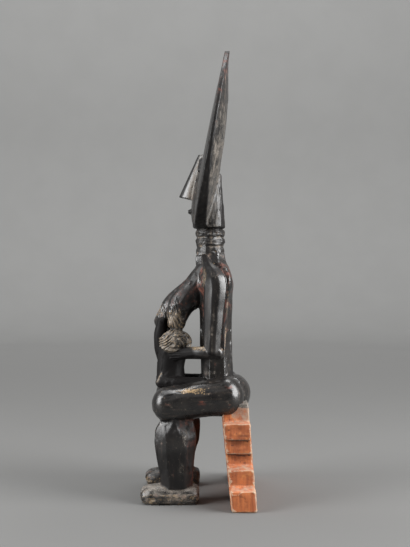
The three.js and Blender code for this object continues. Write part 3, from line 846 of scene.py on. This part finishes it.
def carve_child_head(surface, is_head):
    """Hair in slanting rows, and a small face that lies on its side under the breast."""
    centre, half = child_head()
    away = surface.points - SHIFT - centre
    x, y, z = away.T
    hair = ramp(-4, -9, y - 0.35 * z) * ramp(-11, -7, z)
    row = (0.62 * y - 0.78 * z + 1.9 * surface.noise(9, 67)) / 3.1
    depth = (0.7 + 0.4 * surface.noise(5, 69)) * hair * (np.cos(2 * math.pi * row) - 0.3)
    face = (1 - hair) * ramp(0, 6, np.abs(x))
    eye = np.hypot((y + 4.6) / 4.2, (z + 2.2) / 3.0)
    depth += face * (1.0 * bump(eye - 1.25, 0.28) - 1.6 * bump(eye, 0.55))
    depth += face * 2.0 * bump(np.hypot((y + 11.2) / 3.4, (z + 3.2) / 2.4), 0.7)
    depth += face * 1.8 * bump(np.hypot((y - 4) / 2.8, (z + 4.6) / 2.6), 0.7)
    for reach, rise in ((6.5, 1.3), (10.5, 1.1)):
        ring = np.hypot((y - 4) / reach, (z + 4.5) / (reach + 1.5)) - 1
        depth += face * rise * bump(ring, 0.13) * ramp(1, 5, y)
    lid = z - 6.6 - 0.02 * (y - 4) ** 2
    depth += face * (1.3 * bump(lid - 2.2, 1.3) - 1.5 * bump(lid, 0.9)) * bump(y - 5.5, 6.5)
    depth -= face * 1.8 * bump(np.hypot(y + 4.5, z - 10), 1.6)
    rim = above_jaw(y, z)
    depth += ramp(0, 8, x) * (1.5 * bump(rim, 1.2) - 1.1 * bump(rim - 3, 1.3))
    surface.push(depth * is_head)


def carve_breasts(surface, is_breast):
    """Scratchy strokes round the ends of the breasts."""
    design = surface.points - SHIFT
    x, y, z = design.T
    near_end = is_breast * np.minimum(1, breast_ends(design, (30, 24, 30), (30, 26, 28)))
    wave = surface.noise(8, 61)
    strokes = np.abs(np.sin((0.5 * z + 1.2 * y + 0.5 * x) / 1.7 + 2.6 * wave))
    surface.push(near_end * (0.9 * strokes - 0.5 + 1.0 * surface.noise(4.5, 64)))


def carve_fingers(surface, is_hand):
    x, y, z = surface.xyz()
    tip = ARM_CENTRE + 0.47 * FOREARM_THICKNESS - FOREARM_LENGTH
    near = (1 - ramp(tip + 5, tip + 11, y)) * is_hand
    rows = 0.5 + 0.5 * np.cos(2 * math.pi * (z - 0.15 * y) / 3.6)
    surface.push(-0.8 * near * rows**2)


def carve_face(surface, is_face):
    x, y, z = surface.xyz()
    share = (z - NECK_TOP) / DISC_HEIGHT
    depth = np.zeros(len(x))
    for side in (-1, 1):
        u = (x - side * EYE_SPACING / 2) / (0.12 * FACE_WIDTH)
        v = (share - EYE_SHARE) * DISC_HEIGHT
        depth -= 1.3 * bump(v, 0.8) * (1 - ramp(0.6, 1, np.abs(u)))
    v = (share - MOUTH_SHARE) * DISC_HEIGHT
    depth -= 1.5 * bump(v, 0.8) * (1 - ramp(4, 7, np.abs(x)))
    surface.push(depth * is_face * (y < plate_front(share)))


def dressed(name, parts, voxel, finer=None):
    """A fused piece, its points, and for each point the name of the form that it lies on.

    The form named finer gets a mesh twice as fine as the rest.
    """
    points, faces, forms = joined(parts)
    tree = BVHTree.FromPolygons(points.tolist(), faces)
    piece = fused(name, points, faces, voxel)
    surface = Surface(piece)
    surface.relax(4)
    part = labels(surface, tree, forms)
    if finer:
        surface.normals()
        refined(piece, part == finer)
        surface = Surface(piece)
        part = labels(surface, tree, forms)
    return piece, surface, part


def finished(piece, surface):
    """Gives the piece its last shape, inside the box of the solids."""
    low, high = np.array(cad_low) / MM, np.array(cad_high) / MM
    surface.points = np.clip(surface.points, low, high)
    surface.normals()
    surface.mesh.shade_smooth()
    thinned(piece, MOST_TRIANGLES)
    points = np.clip(read(piece.data.vertices, "co", 3), cad_low, cad_high)
    piece.data.vertices.foreach_set("co", points.astype(np.float32).ravel())
    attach(piece, "root")
    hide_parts("figure")


coarse = 1

# The head: plate, face and the half cone behind it.
head_parts = [("plate", head_plate()), ("skull", skull()), ("mask", mask()), ("nose", nose())]
head_parts += [("feature", part) for part in features()]
head, surface, part = dressed("head", head_parts, VOXEL * coarse)
on_face = np.isin(part, ("mask", "nose", "feature"))
carve_face(surface, on_face)
x, y, z = surface.xyz()
share = (z - NECK_TOP) / DISC_HEIGHT
on_disc = np.clip(share, 0, 1)
rim_width = plate_rim(on_disc)
behind = y - plate_front(share)
past_rim = behind - (RIM_BEVEL * (1 - on_disc**2) + rim_width)
rough = ramp(-0.6, 1.2, past_rim)
surface.cut_facets(
    spacing=9, depth=0.4, stretch=(1, 1, 0.3), seed=3, weight=0.35 + 0.65 * rough
)
flutes = surface.noise(2.6, 3, (1, 1, 0.12))
flutes = flutes + 0.6 * surface.noise(1.7, 4, (1, 1, 0.3))
surface.push(0.16 * surface.layers(16, 1) + 0.26 * flutes * rough)

bend = surface.bend(6)
sideways = np.abs(surface.normals()[:, 0])
cone = surface.blurred(part == "skull", 4)
lit_cone = cone * ramp(0.55, 0.85, sideways)
row = np.clip((NOSE_ROOT - z) / NOSE_LENGTH, 0, 1)
from_ridge = (behind + nose_rise(row)) / (nose_rise(row) + FACE_RISE)
ridge = (part == "nose") * (1 - ramp(0.14, 0.2, from_ridge))
flank = np.where(part == "nose", ramp(0.14, 0.22, from_ridge - 0.14 * row), 0.3)
flank = on_face * flank
band = 1 - ramp(0.6, 2.4, past_rim)
band = band * ramp(-1.5, -0.3, past_rim + rim_width)
band = surface.blurred(band * (1 - on_face), 1)
high = ramp(0.45, 0.8, share)
streaked = 0.8 + 0.35 * surface.noise(2.2, 6, (1, 1, 0.12))
# Painted shade, which also dulls the gloss: a dark band down the rim where it faces out to the
# side, the rear of the skull's half cone and a line along its edge, a little over its paler
# side, and the eyes, brows and mouth. The nose ridge is darkened the same way.
shades = (
    band * (0.85 - 0.4 * high) * streaked,
    0.9 * ridge,
    0.8 * ramp(0.3, 0.6, cone) * ramp(0.72, 0.5, sideways),
    0.6 * bump(cone - 0.4, 0.18) * ramp(0.4, 0.7, sideways),
    0.35 * lit_cone,
    0.8 * (part == "feature"),
)
surface.store(
    hollow=ramp(0.03, 0.3, bend),
    edge=ramp(0.06, 0.4, -bend),
    # Grey dust on the rough back of the plate and on the nose's flanks; the skull's
    # sideways-facing side is painted paler, as painted light.
    dust=rough * (0.62 - 0.5 * cone) * (1 - 0.55 * high) + 0.5 * lit_cone + 0.85 * flank,
    worn=0.65 * high * band + 0.45 * high * rough + 0.45 * flank,
    tan=0.4 * flank * ramp(345, 372, z),
    soot=surface.blurred(np.maximum.reduce(shades), 1),
)
finished(head, surface)

# The stool, a mesh of its own up to the crease under the body.
stool_piece, surface, _ = dressed("stool", [("stool", stool())], VOXEL * coarse)
surface.cut_facets(spacing=8, depth=0.35, stretch=(0.5, 1, 1.6), seed=11, weight=1)
grooves = surface.noise(3, 25, (1, 1, 3))
surface.push(0.22 * surface.layers(9, 21) + 0.12 * grooves)
x, y, z = surface.xyz()
rear_slope = math.tan(math.radians(STOOL_REAR_LEAN))
front_slope = math.tan(math.radians(STOOL_FRONT_LEAN))
into = STOOL_REAR - rear_slope * z - y
short_of_front = STOOL_THICKNESS + (front_slope - rear_slope) * z - into
rim = np.maximum(1 - ramp(1, 2.6, into), 1 - ramp(1, 2.6, short_of_front))
rim *= ramp(0.25, 0.6, np.abs(surface.blurred(surface.normals(), 2)[:, 0]))
surface.push(-1.4 * (np.clip(surface.noise(5, 41) - 0.35, 0, 1) * rim))

bend = surface.bend(6)
top = z / SEAT_HEIGHT + 0.03 * surface.noise(9, 31)
# The upward faces of the steps are painted pale: partly dust, partly painted light.
ledge = surface.blurred(ramp(0.12, 0.5, surface.normals()[:, 2]), 3)
rear_patina = ramp(97, 102, z + 2 * surface.noise(6, 33))
rear_patina = rear_patina * ramp(14, 8, into)
side_patina = ramp(0.95, 1.05, top) * ramp(24, 20, into)
patchy = 0.5 + 0.5 * surface.noise(7, 35)
# A painted shadow in a band under each overhang, and painted shade in the hollows away from the
# ledges.
overhangs = [share * SEAT_HEIGHT for width, share in STOOL_LEVELS[3:10:2]]
surface.store(
    hollow=ramp(0.03, 0.35, bend) * (1 - ledge),
    edge=np.maximum(ramp(0.05, 0.4, -bend), 0.85 * rim),
    bare=1 - ramp(1.08, 1.16, top),
    dust=np.maximum.reduce((0.8 * ledge, rear_patina, side_patina)),
    worn=0.3,
    soot=0.6 * patchy * np.maximum.reduce([bump(z - level + 4, 4) for level in overhangs]),
)
finished(stool_piece, surface)

# The body: trunk, neck, limbs and child.
LIMBS = (
    ("thigh", thigh), ("shin", shin), ("foot", foot),
    ("arm", arm), ("forearm", forearm), ("breast", breast),
)
body_parts = [("pelvis", pelvis()), ("trunk", trunk()), ("neck", neck())]
for side, hand in ((1, "left"), (-1, "right")):
    body_parts += [(f"{hand}_{kind}", make(side)) for kind, make in LIMBS]
body_parts.append(("child_head", ball(*child_head())))
body_parts += [("child_body", part) for part in child_body()]
body, surface, part = dressed("body", body_parts, BODY_VOXEL * coarse, finer="child_head")
kinds, kind_number = np.unique(part, return_inverse=True)


def of(*wanted):
    """Which points lie on a form whose name holds one of these words."""
    return np.array([any(name in kind for name in wanted) for kind in kinds])[kind_number]


is_head = of("child_head")
is_breast = of("breast")
neck_share = surface.blurred(of("neck"), 3)
across_grain = of("thigh", "forearm", "foot")
soft = surface.blurred(1 - is_head, 3)
surface.cut_facets(
    spacing=11, depth=0.35, stretch=(1, 1, 0.3), seed=5,
    weight=soft * ~across_grain * (1 - 0.92 * of("_arm")),
)
surface.cut_facets(
    spacing=11, depth=0.35, stretch=(1, 0.3, 1), seed=7, weight=soft * across_grain
)
surface.cut_facets(spacing=6, depth=0.6, stretch=(1, 1, 1), seed=9, weight=neck_share)
carve_toes(surface, of("foot"))
carve_child_head(surface, surface.blurred(is_head, 2))
carve_breasts(surface, surface.blurred(is_breast, 3))
carve_fingers(surface, of("left_forearm"))

# Beaded neck rings, rough feet with chipped toe ends, and a raised line on the trunk's arrises.
rocky = 0.22 * surface.noise(3, 13) + 0.3 * surface.noise(8, 17)
chipped = np.clip(surface.noise(4.5, 71, (0.6, 1, 1.4)) - 0.1, 0, 1)
chipped = chipped * ramp(16, 10, surface.points[:, 2])
beaded = 0.35 * surface.noise(3.4, 15) * neck_share
x, y, z = surface.xyz()
# A raised line along the trunk's rear arrises, painted pale further on as a painted highlight.
past_arris = y - TRUNK_ARRIS - TRUNK_ARRIS_LEAN * (z - TRUNK_ARRIS_HEIGHT)
arris_highlight_line = of("trunk") * bump(past_arris, 1.0) * ramp(14, 20, np.abs(x))
arris_highlight_line *= ramp(168, 182, z) * (1 - ramp(270, 278, z))
relief = 0.1 * surface.layers(10, 5) + beaded
surface.push(relief + (rocky - 1.3 * chipped) * of("foot") + 0.6 * arris_highlight_line)

bend = surface.bend(6)
design = surface.points - SHIFT
x, y, z = design.T
ends = breast_ends(design, (24, 20, 26), (24, 22, 24)) * is_breast
lines = neck_share * ramp(0.04, 0.25, bend)
away = (design - child_head()[0]).T
jaw = is_head * ramp(0, 8, away[0]) * bump(above_jaw(away[1], away[2]), 1.6)
crown = of("trunk", "_arm") * ramp(274, 277, z + 0.25 * (y - 30))
over_elbow = z - ELBOW_HEIGHT + 1
near_elbow = ramp(-14, -8, y)
# The top of the left forearm, short of the hand, is painted paler: painted light.
lit_forearm_top = of("left_forearm") * near_elbow * ramp(1, 5, over_elbow)
waist_line = of("trunk", "thigh") * bump(z - 155.5, 1.4)
waist_line = waist_line * ramp(0, 5, y) * (1 - ramp(28, 33, y))
# A painted highlight along the low rim of the child's body, kept clear of its painted shade.
child_rim_highlight = of("child_body") * bump(y + 45.6 - 0.5 * (z - 154), 1.3)
child_rim_highlight = child_rim_highlight * ramp(141, 144, z) * ramp(157, 154, z)
shin_arris = SHIN_CENTRE + 1 - (0.18 - 0.64 * ramp(100, 78, z)) * 24
ankle = np.hypot((np.abs(x) - LEG_SPACING / 2) / 17, (y + 25.5) / 20) - 1.02
ankle = bump(ankle, 0.09) * ramp(17, 20, z) * of("foot")

arm_streaks = np.clip(surface.noise(2, 23, (1, 1, 0.08)), 0, 1)
# Pale grey paint: dust on the breast ends, the child's head and jaw, the neck and its grooves,
# the shoulders, the waist crease, the ankles, the feet and the front of the arms; painted light
# on the trunk's arris line, the top of the left forearm and the rim of the child's body. The
# right foot gets less than the left, as painted shade.
dust = 0.7 * ends + 0.75 * is_head + 0.25 * neck_share + 0.6 * lines + 0.5 * jaw
dust += 0.15 * crown + 0.6 * lit_forearm_top + waist_line + 0.7 * arris_highlight_line + 0.8 * child_rim_highlight
dust += ankle + (0.6 + 0.3 * ramp(12, 20, z)) * of("left_foot") + 0.4 * of("right_foot")
dust += 0.9 * of("_arm") * ramp(24, 20, y) * arm_streaks

trunk_side = of("trunk") * ramp(0, 12, np.abs(x) - 18)
worn = 0.45 * is_breast + 0.25 * is_head + 0.4 * of("foot") + 0.5 * lines + 0.25 * crown
worn += trunk_side * (0.2 + 0.6 * ramp(178, 190, z))
worn += 0.7 * of("forearm") * near_elbow * ramp(2, 5, over_elbow)
worn += of("shin") * (ramp(0.5, 3.5, y - shin_arris) + 1.8 * ramp(-14, -10, y))

# Tan paint: wear on the breast ends, the child's head and jaw, the neck's grooves, the
# shoulders, the toes, the ankles and the left hand; painted highlights on the trunk's arris
# line, the top of the left forearm and the rim of the child's body.
tan = (1.25 * ends + 1.45 * is_head) * (0.3 + 0.7 * ramp(-0.1, 0.25, -bend))
tan += lines + 1.4 * jaw + 0.35 * crown + lit_forearm_top + 0.75 * arris_highlight_line + 1.2 * child_rim_highlight
tan += of("foot") * ramp(17, 11, z) * (0.9 * ramp(0.1, 0.4, chipped) + 0.55)
tan += 1.2 * ankle + 1.2 * spot(design, (22, -38, 188), (10, 5, 4))

# Painted shade, which also dulls the gloss: the child's body under its head and the mother's
# forearm, but not its lit rim; the right foot; on the arms, the back of their tops, their front
# arris and front face; the crests of the neck rings; the tops of the breasts; the lower side of
# the left forearm and the front ends of both forearms; and on the shins, a fading under the
# upper front, the lower front and the rear facet.
soot = of("child_body") - child_rim_highlight + 0.3 * of("right_foot")
soot += of("_arm") * (
    0.7 * crown * ramp(18, 22, y)
    + ramp(0.02, 0.15, -bend) * ramp(22, 18, y)
    + (0.5 + 0.45 * surface.noise(2.6, 17, (1, 1, 0.12))) * ramp(16, 13, y)
)
soot += 0.55 * neck_share * ramp(-0.05, 0.08, -bend)
soot += is_breast * ramp(236, 248, z) * (0.6 + 0.5 * surface.noise(7, 19))
under_elbow = ramp(ELBOW_HEIGHT + 3, ELBOW_HEIGHT, z)
soot += 0.7 * of("left_forearm") * under_elbow * ramp(10, 4, y)
soot += of("forearm") * ramp(-3, -10, y)
soot += of("shin") * (
    0.5 * ramp(100, 86, z) * ramp(74, 84, z) * ramp(-20, -28, y)
    + 0.7 * ramp(72, 58, z) * ramp(-8, -16, y)
    + 0.6 * ramp(1.5, 4.5, y - shin_arris)
)

# Soft patches on both sides of the figure: the paint and how much of it, then where the patch
# lies (out to the side, back and up) and how far it reaches each way.
PATCHES = (
    ("worn", 1.0, (68, 38, 143), (12, 10, 6)),
    ("worn", 1.0, (68, 4, 122), (10, 9, 6)),
    ("worn", 1.0, (45, 58, 120), (18, 8, 7)),
    ("worn", 0.9, (66, 34, 129), (8, 4, 3)),
    ("worn", 0.4, (34, 28, 282), (18, 14, 10)),
    ("worn", 0.5, (20, -12, 264), (18, 26, 16)),
    # Tan over the top of each thigh: partly golden wear, partly a painted highlight.
    ("tan", 1.15, (68, -9, 138), (18, 34, 6.5)),
    ("tan", 0.9, (45, 7, 272), (14, 6, 22)),
    ("tan", 0.5, (60, -27, 98), (14, 8, 6)),
    # Tan on the lower rear of each shin: a painted highlight.
    ("tan", 0.6, (60, -19, 45), (14, 6, 14)),
    # Tan on top of each forearm: painted light.
    ("tan", 0.5, (48, 5, 190), (14, 18, 6)),
    ("dust", 0.7, (45, 7, 272), (14, 5, 20)),
    # Pale grey on each shin, high and low: painted highlights.
    ("dust", 0.8, (62, -15, 84), (14, 5, 20)),
    ("dust", 0.8, (60, -19, 45), (14, 6, 14)),
    # Painted shade over the front top of each thigh.
    ("soot", 0.7, (68, -40, 140), (20, 16, 9)),
)
paints = {"worn": worn, "tan": tan, "dust": dust, "soot": soot}
for name, amount, (out, back, up), reach in PATCHES:
    for side in (-1, 1):
        paints[name] += amount * spot(design, (side * out, back, up), reach)

# Painted shade in the creases of the child's head and the breast ends, which also dulls their
# gloss.
creases = surface.blurred(ramp(0.03, 0.2, bend) * (is_head + ends), 1)
surface.store(
    hollow=ramp(0.03, 0.3, bend),
    edge=ramp(0.06, 0.35, -bend),
    across=surface.blurred(across_grain, 4),
    dust=surface.blurred(dust, 4),
    worn=surface.blurred(worn, 4),
    tan=surface.blurred(tan, 2),
    soot=np.maximum(surface.blurred(soot, 4), 0.6 * creases),
)
finished(body, surface)


def rgb(red, green, blue):
    """A linear colour from screen values between 0 and 255."""
    channels = [value / 255 for value in (red, green, blue)]
    linear = [c / 12.92 if c <= 0.04045 else ((c + 0.055) / 1.055) ** 2.4 for c in channels]
    return (*linear, 1)


class Graph:
    """Adds linked nodes to one material."""

    def __init__(self, name):
        self.material = bpy.data.materials.new(name)
        self.material.use_nodes = True
        self.tree = self.material.node_tree
        self.shader = self.tree.nodes["Principled BSDF"]
        self.place = self.add("TexCoord")["Object"]

    def add(self, kind, inputs=(), **settings):
        """The outputs of a new node."""
        node = self.tree.nodes.new("ShaderNode" + kind)
        for key, value in settings.items():
            setattr(node, key, value)
        self.feed(node, inputs)
        return node.outputs

    def feed(self, node, inputs):
        for key, value in dict(inputs).items():
            if isinstance(value, bpy.types.NodeSocket):
                self.tree.links.new(value, node.inputs[key])
            else:
                node.inputs[key].default_value = value

    def attribute(self, name):
        return self.add("Attribute", attribute_name=name)["Fac"]

    def math(self, operation, a, b=0.0, c=0.0):
        return self.add("Math", enumerate((a, b, c)), operation=operation)[0]

    def times(self, a, b):
        return self.math("MULTIPLY", a, b)

    def blend(self, *terms):
        """The sum of (value, weight) pairs."""
        total = self.times(*terms[0])
        for value, weight in terms[1:]:
            total = self.math("ADD", total, self.times(value, weight))
        return total

    def step(self, value, low, high, start=0.0, end=1.0):
        inputs = enumerate((value, low, high, start, end))
        return self.add("MapRange", inputs, interpolation_type="SMOOTHSTEP")[0]

    def mix(self, factor, a, b):
        inputs = {0: factor, 6: a, 7: b}
        return self.add("Mix", inputs, data_type="RGBA", clamp_factor=True)[2]

    def stretched(self, x, y, z):
        return self.add("Mapping", {"Vector": self.place, "Scale": (x, y, z)})[0]

    def noise(self, scale, detail=3.0, rough=0.55, vector=None):
        vector = vector or self.place
        inputs = {"Vector": vector, "Scale": scale, "Detail": detail, "Roughness": rough}
        return self.add("TexNoise", inputs)[0]

    def bump(self, height, distance, strength=1.0, normal=None):
        inputs = {"Height": height, "Distance": distance, "Strength": strength}
        if normal is not None:
            inputs["Normal"] = normal
        return self.add("Bump", inputs)[0]

    def finish(self, inputs):
        self.feed(self.shader, inputs)
        return self.material


# The finish from the lacquer up, then the bare wood of the stool, as screen colours. The deepest
# black is painted shade, the grey is dust and painted light, the tan is wear and painted
# highlights, and of the clays the hollow and shade colours are painted shade and the dust colour
# is dust with painted light.
BLACK, WARM_BLACK, BLACK_GRAIN = rgb(20, 19, 19), rgb(34, 31, 29), rgb(60, 52, 46)
DARK_RED, RED = rgb(48, 30, 26), rgb(108, 54, 37)
TAN, GREY_DUST_AND_LIGHT, SHADE_BLACK = rgb(158, 132, 96), rgb(112, 104, 95), rgb(17, 15, 15)
WHITE, FLECK = rgb(172, 168, 160), rgb(132, 120, 108)
CLAY, LIGHT_CLAY, ORANGE_CLAY = rgb(142, 74, 40), rgb(188, 106, 56), rgb(204, 126, 66)
BROWN_CLAY, CLAY_HOLLOW_SHADE, CLAY_SHADE = rgb(118, 62, 42), rgb(64, 36, 28), rgb(84, 46, 32)
CLAY_EDGE, CLAY_SPECK, CLAY_DUST_AND_LIGHT = rgb(182, 162, 138), rgb(200, 172, 142), rgb(150, 136, 120)


def wood_finish():
    """A black, handled finish over red-brown wood, dusted in its hollows, with painted shade and
    painted highlights, and bare wood below.
    """
    g = Graph("figure_wood")
    hollow, edge, bare, dust, worn, tan, soot, across = (g.attribute(name) for name in FINISH)
    wide = g.noise(45, 4)
    patch = g.noise(110, 5, 0.6)
    fine = g.noise(450, 4, 0.65)
    speck = g.noise(1300, 3, 0.6)
    upright = g.noise(260, 5, 0.65, g.stretched(1, 1, 0.08))
    forward = g.noise(260, 5, 0.65, g.stretched(1, 0.08, 1))
    grain = g.math("MULTIPLY_ADD", across, g.math("SUBTRACT", forward, upright), upright)

    black = g.mix(g.step(wide, 0.35, 0.7), BLACK, WARM_BLACK)
    black = g.mix(g.step(grain, 0.54, 0.76), black, BLACK_GRAIN)
    red = g.mix(g.step(patch, 0.4, 0.7), DARK_RED, RED)
    red_share = g.blend((grain, 0.9), (patch, 1.1), (worn, 0.32), (edge, 0.05))
    red_share = g.step(red_share, 1.2, 1.42)
    colour = g.mix(g.times(red_share, 0.8), black, red)
    tan_share = g.blend((fine, 1.1), (grain, 0.8), (tan, 0.4), (edge, 0.04))
    # Tan wear, which also makes the painted highlights.
    colour = g.mix(g.times(g.step(tan_share, 1.22, 1.42), 0.8), colour, TAN)
    grit = g.blend((speck, 0.6), (grain, 0.7), (patch, 0.6))
    # Grey dust, which also makes the painted light.
    dusty = g.step(g.blend((grit, 1.0), (dust, 0.36), (hollow, 0.1)), 1.08, 1.36)
    colour = g.mix(g.times(dusty, 0.8), colour, GREY_DUST_AND_LIGHT)
    white = g.step(g.blend((speck, 1.0), (dust, 0.14)), 0.68, 0.78, 0.0, 0.8)
    colour = g.mix(g.times(white, dust), colour, WHITE)
    flecks = g.step(g.blend((fine, 1.0), (patch, 0.35)), 0.81, 0.88, 0.0, 0.5)
    colour = g.mix(flecks, colour, FLECK)
    # Painted shade, which also dulls the gloss below.
    colour = g.mix(g.times(soot, 0.95), colour, SHADE_BLACK)

    clay = g.mix(g.step(grain, 0.3, 0.7), CLAY, LIGHT_CLAY)
    clay = g.mix(g.step(patch, 0.5, 0.75), clay, ORANGE_CLAY)
    clay = g.mix(g.times(g.step(wide, 0.5, 0.7), 0.45), clay, BROWN_CLAY)
    # Painted shade in the stool's hollows.
    clay = g.mix(g.times(g.step(hollow, 0.1, 0.8), 0.85), clay, CLAY_HOLLOW_SHADE)
    worn_edge = g.step(g.blend((edge, 0.7), (fine, 0.5)), 0.5, 0.9)
    clay = g.mix(g.times(worn_edge, 0.75), clay, CLAY_EDGE)
    clay = g.mix(g.step(speck, 0.62, 0.8, 0.0, 0.5), clay, CLAY_SPECK)
    clay = g.mix(g.times(soot, 0.8), clay, CLAY_SHADE)
    # Pale clay dust, which also makes the painted light on the ledges.
    pale = g.step(g.blend((dust, 0.4), (patch, 0.6), (fine, 0.4)), 0.7, 1.0)
    clay = g.mix(g.times(pale, 0.85), clay, CLAY_DUST_AND_LIGHT)
    bare_share = g.step(g.blend((bare, 1.0), (patch, 0.4)), 0.55, 0.85)

    smooth = g.step(patch, 0.3, 0.75, 0.26, 0.36)
    rough = g.blend(
        (smooth, 1.0), (red_share, 0.14), (dusty, 0.3), (bare_share, 0.28), (soot, 0.3)
    )

    rugged = g.blend((dust, 0.5), (bare_share, 0.3), (tan, 0.3))
    normal = g.bump(patch, 0.0004, 0.12)
    normal = g.bump(grain, 0.0004, g.math("ADD", rugged, 0.1), normal)
    normal = g.bump(fine, 0.0003, rugged, normal)
    normal = g.bump(speck, 0.00015, rugged, normal)
    return g.finish({
        "Base Color": g.mix(bare_share, colour, clay),
        "Roughness": g.math("MINIMUM", rough, 0.8),
        "Specular IOR Level": g.math("MULTIPLY_ADD", soot, -0.5, 0.65),
        "Normal": normal,
    })


def plain(name, shaded_near_colour, lit_far_colour, rough):
    """A matt grey, painted darker round the middle of the floor as painted shade and paler out
    towards the wall as painted light.
    """
    g = Graph(name)
    x, y, _ = g.add("SeparateXYZ", {0: g.place})
    from_middle = g.math("SQRT", g.math("MULTIPLY_ADD", x, x, g.times(y, y)))
    shade = g.mix(g.step(from_middle, 0.6, 3.6), shaded_near_colour, lit_far_colour)
    darker = g.mix(0.5, shade, rgb(110, 110, 109))
    shade = g.mix(g.step(g.noise(6, 2), 0.3, 0.7, 0.0, 0.15), shade, darker)
    return g.finish({"Base Color": shade, "Roughness": rough, "Specular IOR Level": 0.2})


wood = wood_finish()
for piece in (head, stool_piece, body):
    piece.data.materials.clear()
    piece.data.materials.append(wood)


def studio():
    """A round pale floor that sweeps up into a wall on every side."""
    floor_radius, bend, height, columns, steps = 2.3, 1.0, 3.2, 96, 12
    curve = [(0.02, 0.0), (0.6, 0.0), (1.5, 0.0)]
    for step in range(steps + 1):
        turn = math.pi / 2 * step / steps
        curve.append((floor_radius + bend * math.sin(turn), bend - bend * math.cos(turn)))
    curve.append((floor_radius + bend, height))
    around = [2 * math.pi * k / columns for k in range(columns)]
    points = [(r * math.cos(a), r * math.sin(a), z) for r, z in curve for a in around]
    faces = [list(range(columns))]
    for ring in range(len(curve) - 1):
        for k in range(columns):
            a, b = ring * columns + k, ring * columns + (k + 1) % columns
            faces.append([a, a + columns, b + columns, b])
    mesh = bpy.data.meshes.new("floor")
    mesh.from_pydata(points, [], faces)
    mesh.shade_smooth()
    floor = placed("floor", mesh)
    # The floor's two greys: painted shade round the figure, painted light out towards the wall.
    mesh.materials.append(plain("studio_grey", rgb(103, 103, 102), rgb(141, 141, 140), 0.85))
    floor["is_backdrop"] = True


def softbox(name, place, size, power, target=(0, 0, 0.27)):
    lamp = bpy.data.lights.new(name, "AREA")
    lamp.shape = "RECTANGLE"
    lamp.size, lamp.size_y = size
    lamp.energy = power
    light = placed(name, lamp)
    light.location = place
    aim = Vector(target) - Vector(place)
    light.rotation_euler = aim.to_track_quat("-Z", "Y").to_euler()
    light.visible_camera = False


studio()
softbox("left_light", place=(0.45, -1.2, 0.72), size=(0.7, 1.2), power=31)
softbox("right_light", place=(0.44, 1.2, 0.76), size=(0.7, 1.2), power=40)
softbox(
    "wall_light", place=(-0.6, 0.0, 3.0), size=(2.4, 1.2), power=110, target=(-3.0, 0, 0.6)
)

world = bpy.data.worlds.new("studio")
world.use_nodes = True
sky = world.node_tree.nodes["Background"].inputs
sky["Color"].default_value = (0.5, 0.5, 0.5, 1)
sky["Strength"].default_value = 0.8
bpy.context.scene.world = world
bpy.context.scene.view_settings.view_transform = "Standard"

CAMERA_PLACE = (1.08, 0.0087, 0.2784)
FOCAL_PIXELS = 850
IMAGE_WIDTH = 410
SENSOR_WIDTH = 36
lens = bpy.data.cameras.new("camera")
lens.sensor_fit = "HORIZONTAL"
lens.sensor_width = SENSOR_WIDTH
lens.lens = SENSOR_WIDTH * FOCAL_PIXELS / IMAGE_WIDTH
lens.clip_start = 0.01
camera = placed("camera", lens)
camera.location = CAMERA_PLACE
camera.rotation_euler = (math.pi / 2, 0, math.pi / 2)
bpy.context.scene.camera = camera

low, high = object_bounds()
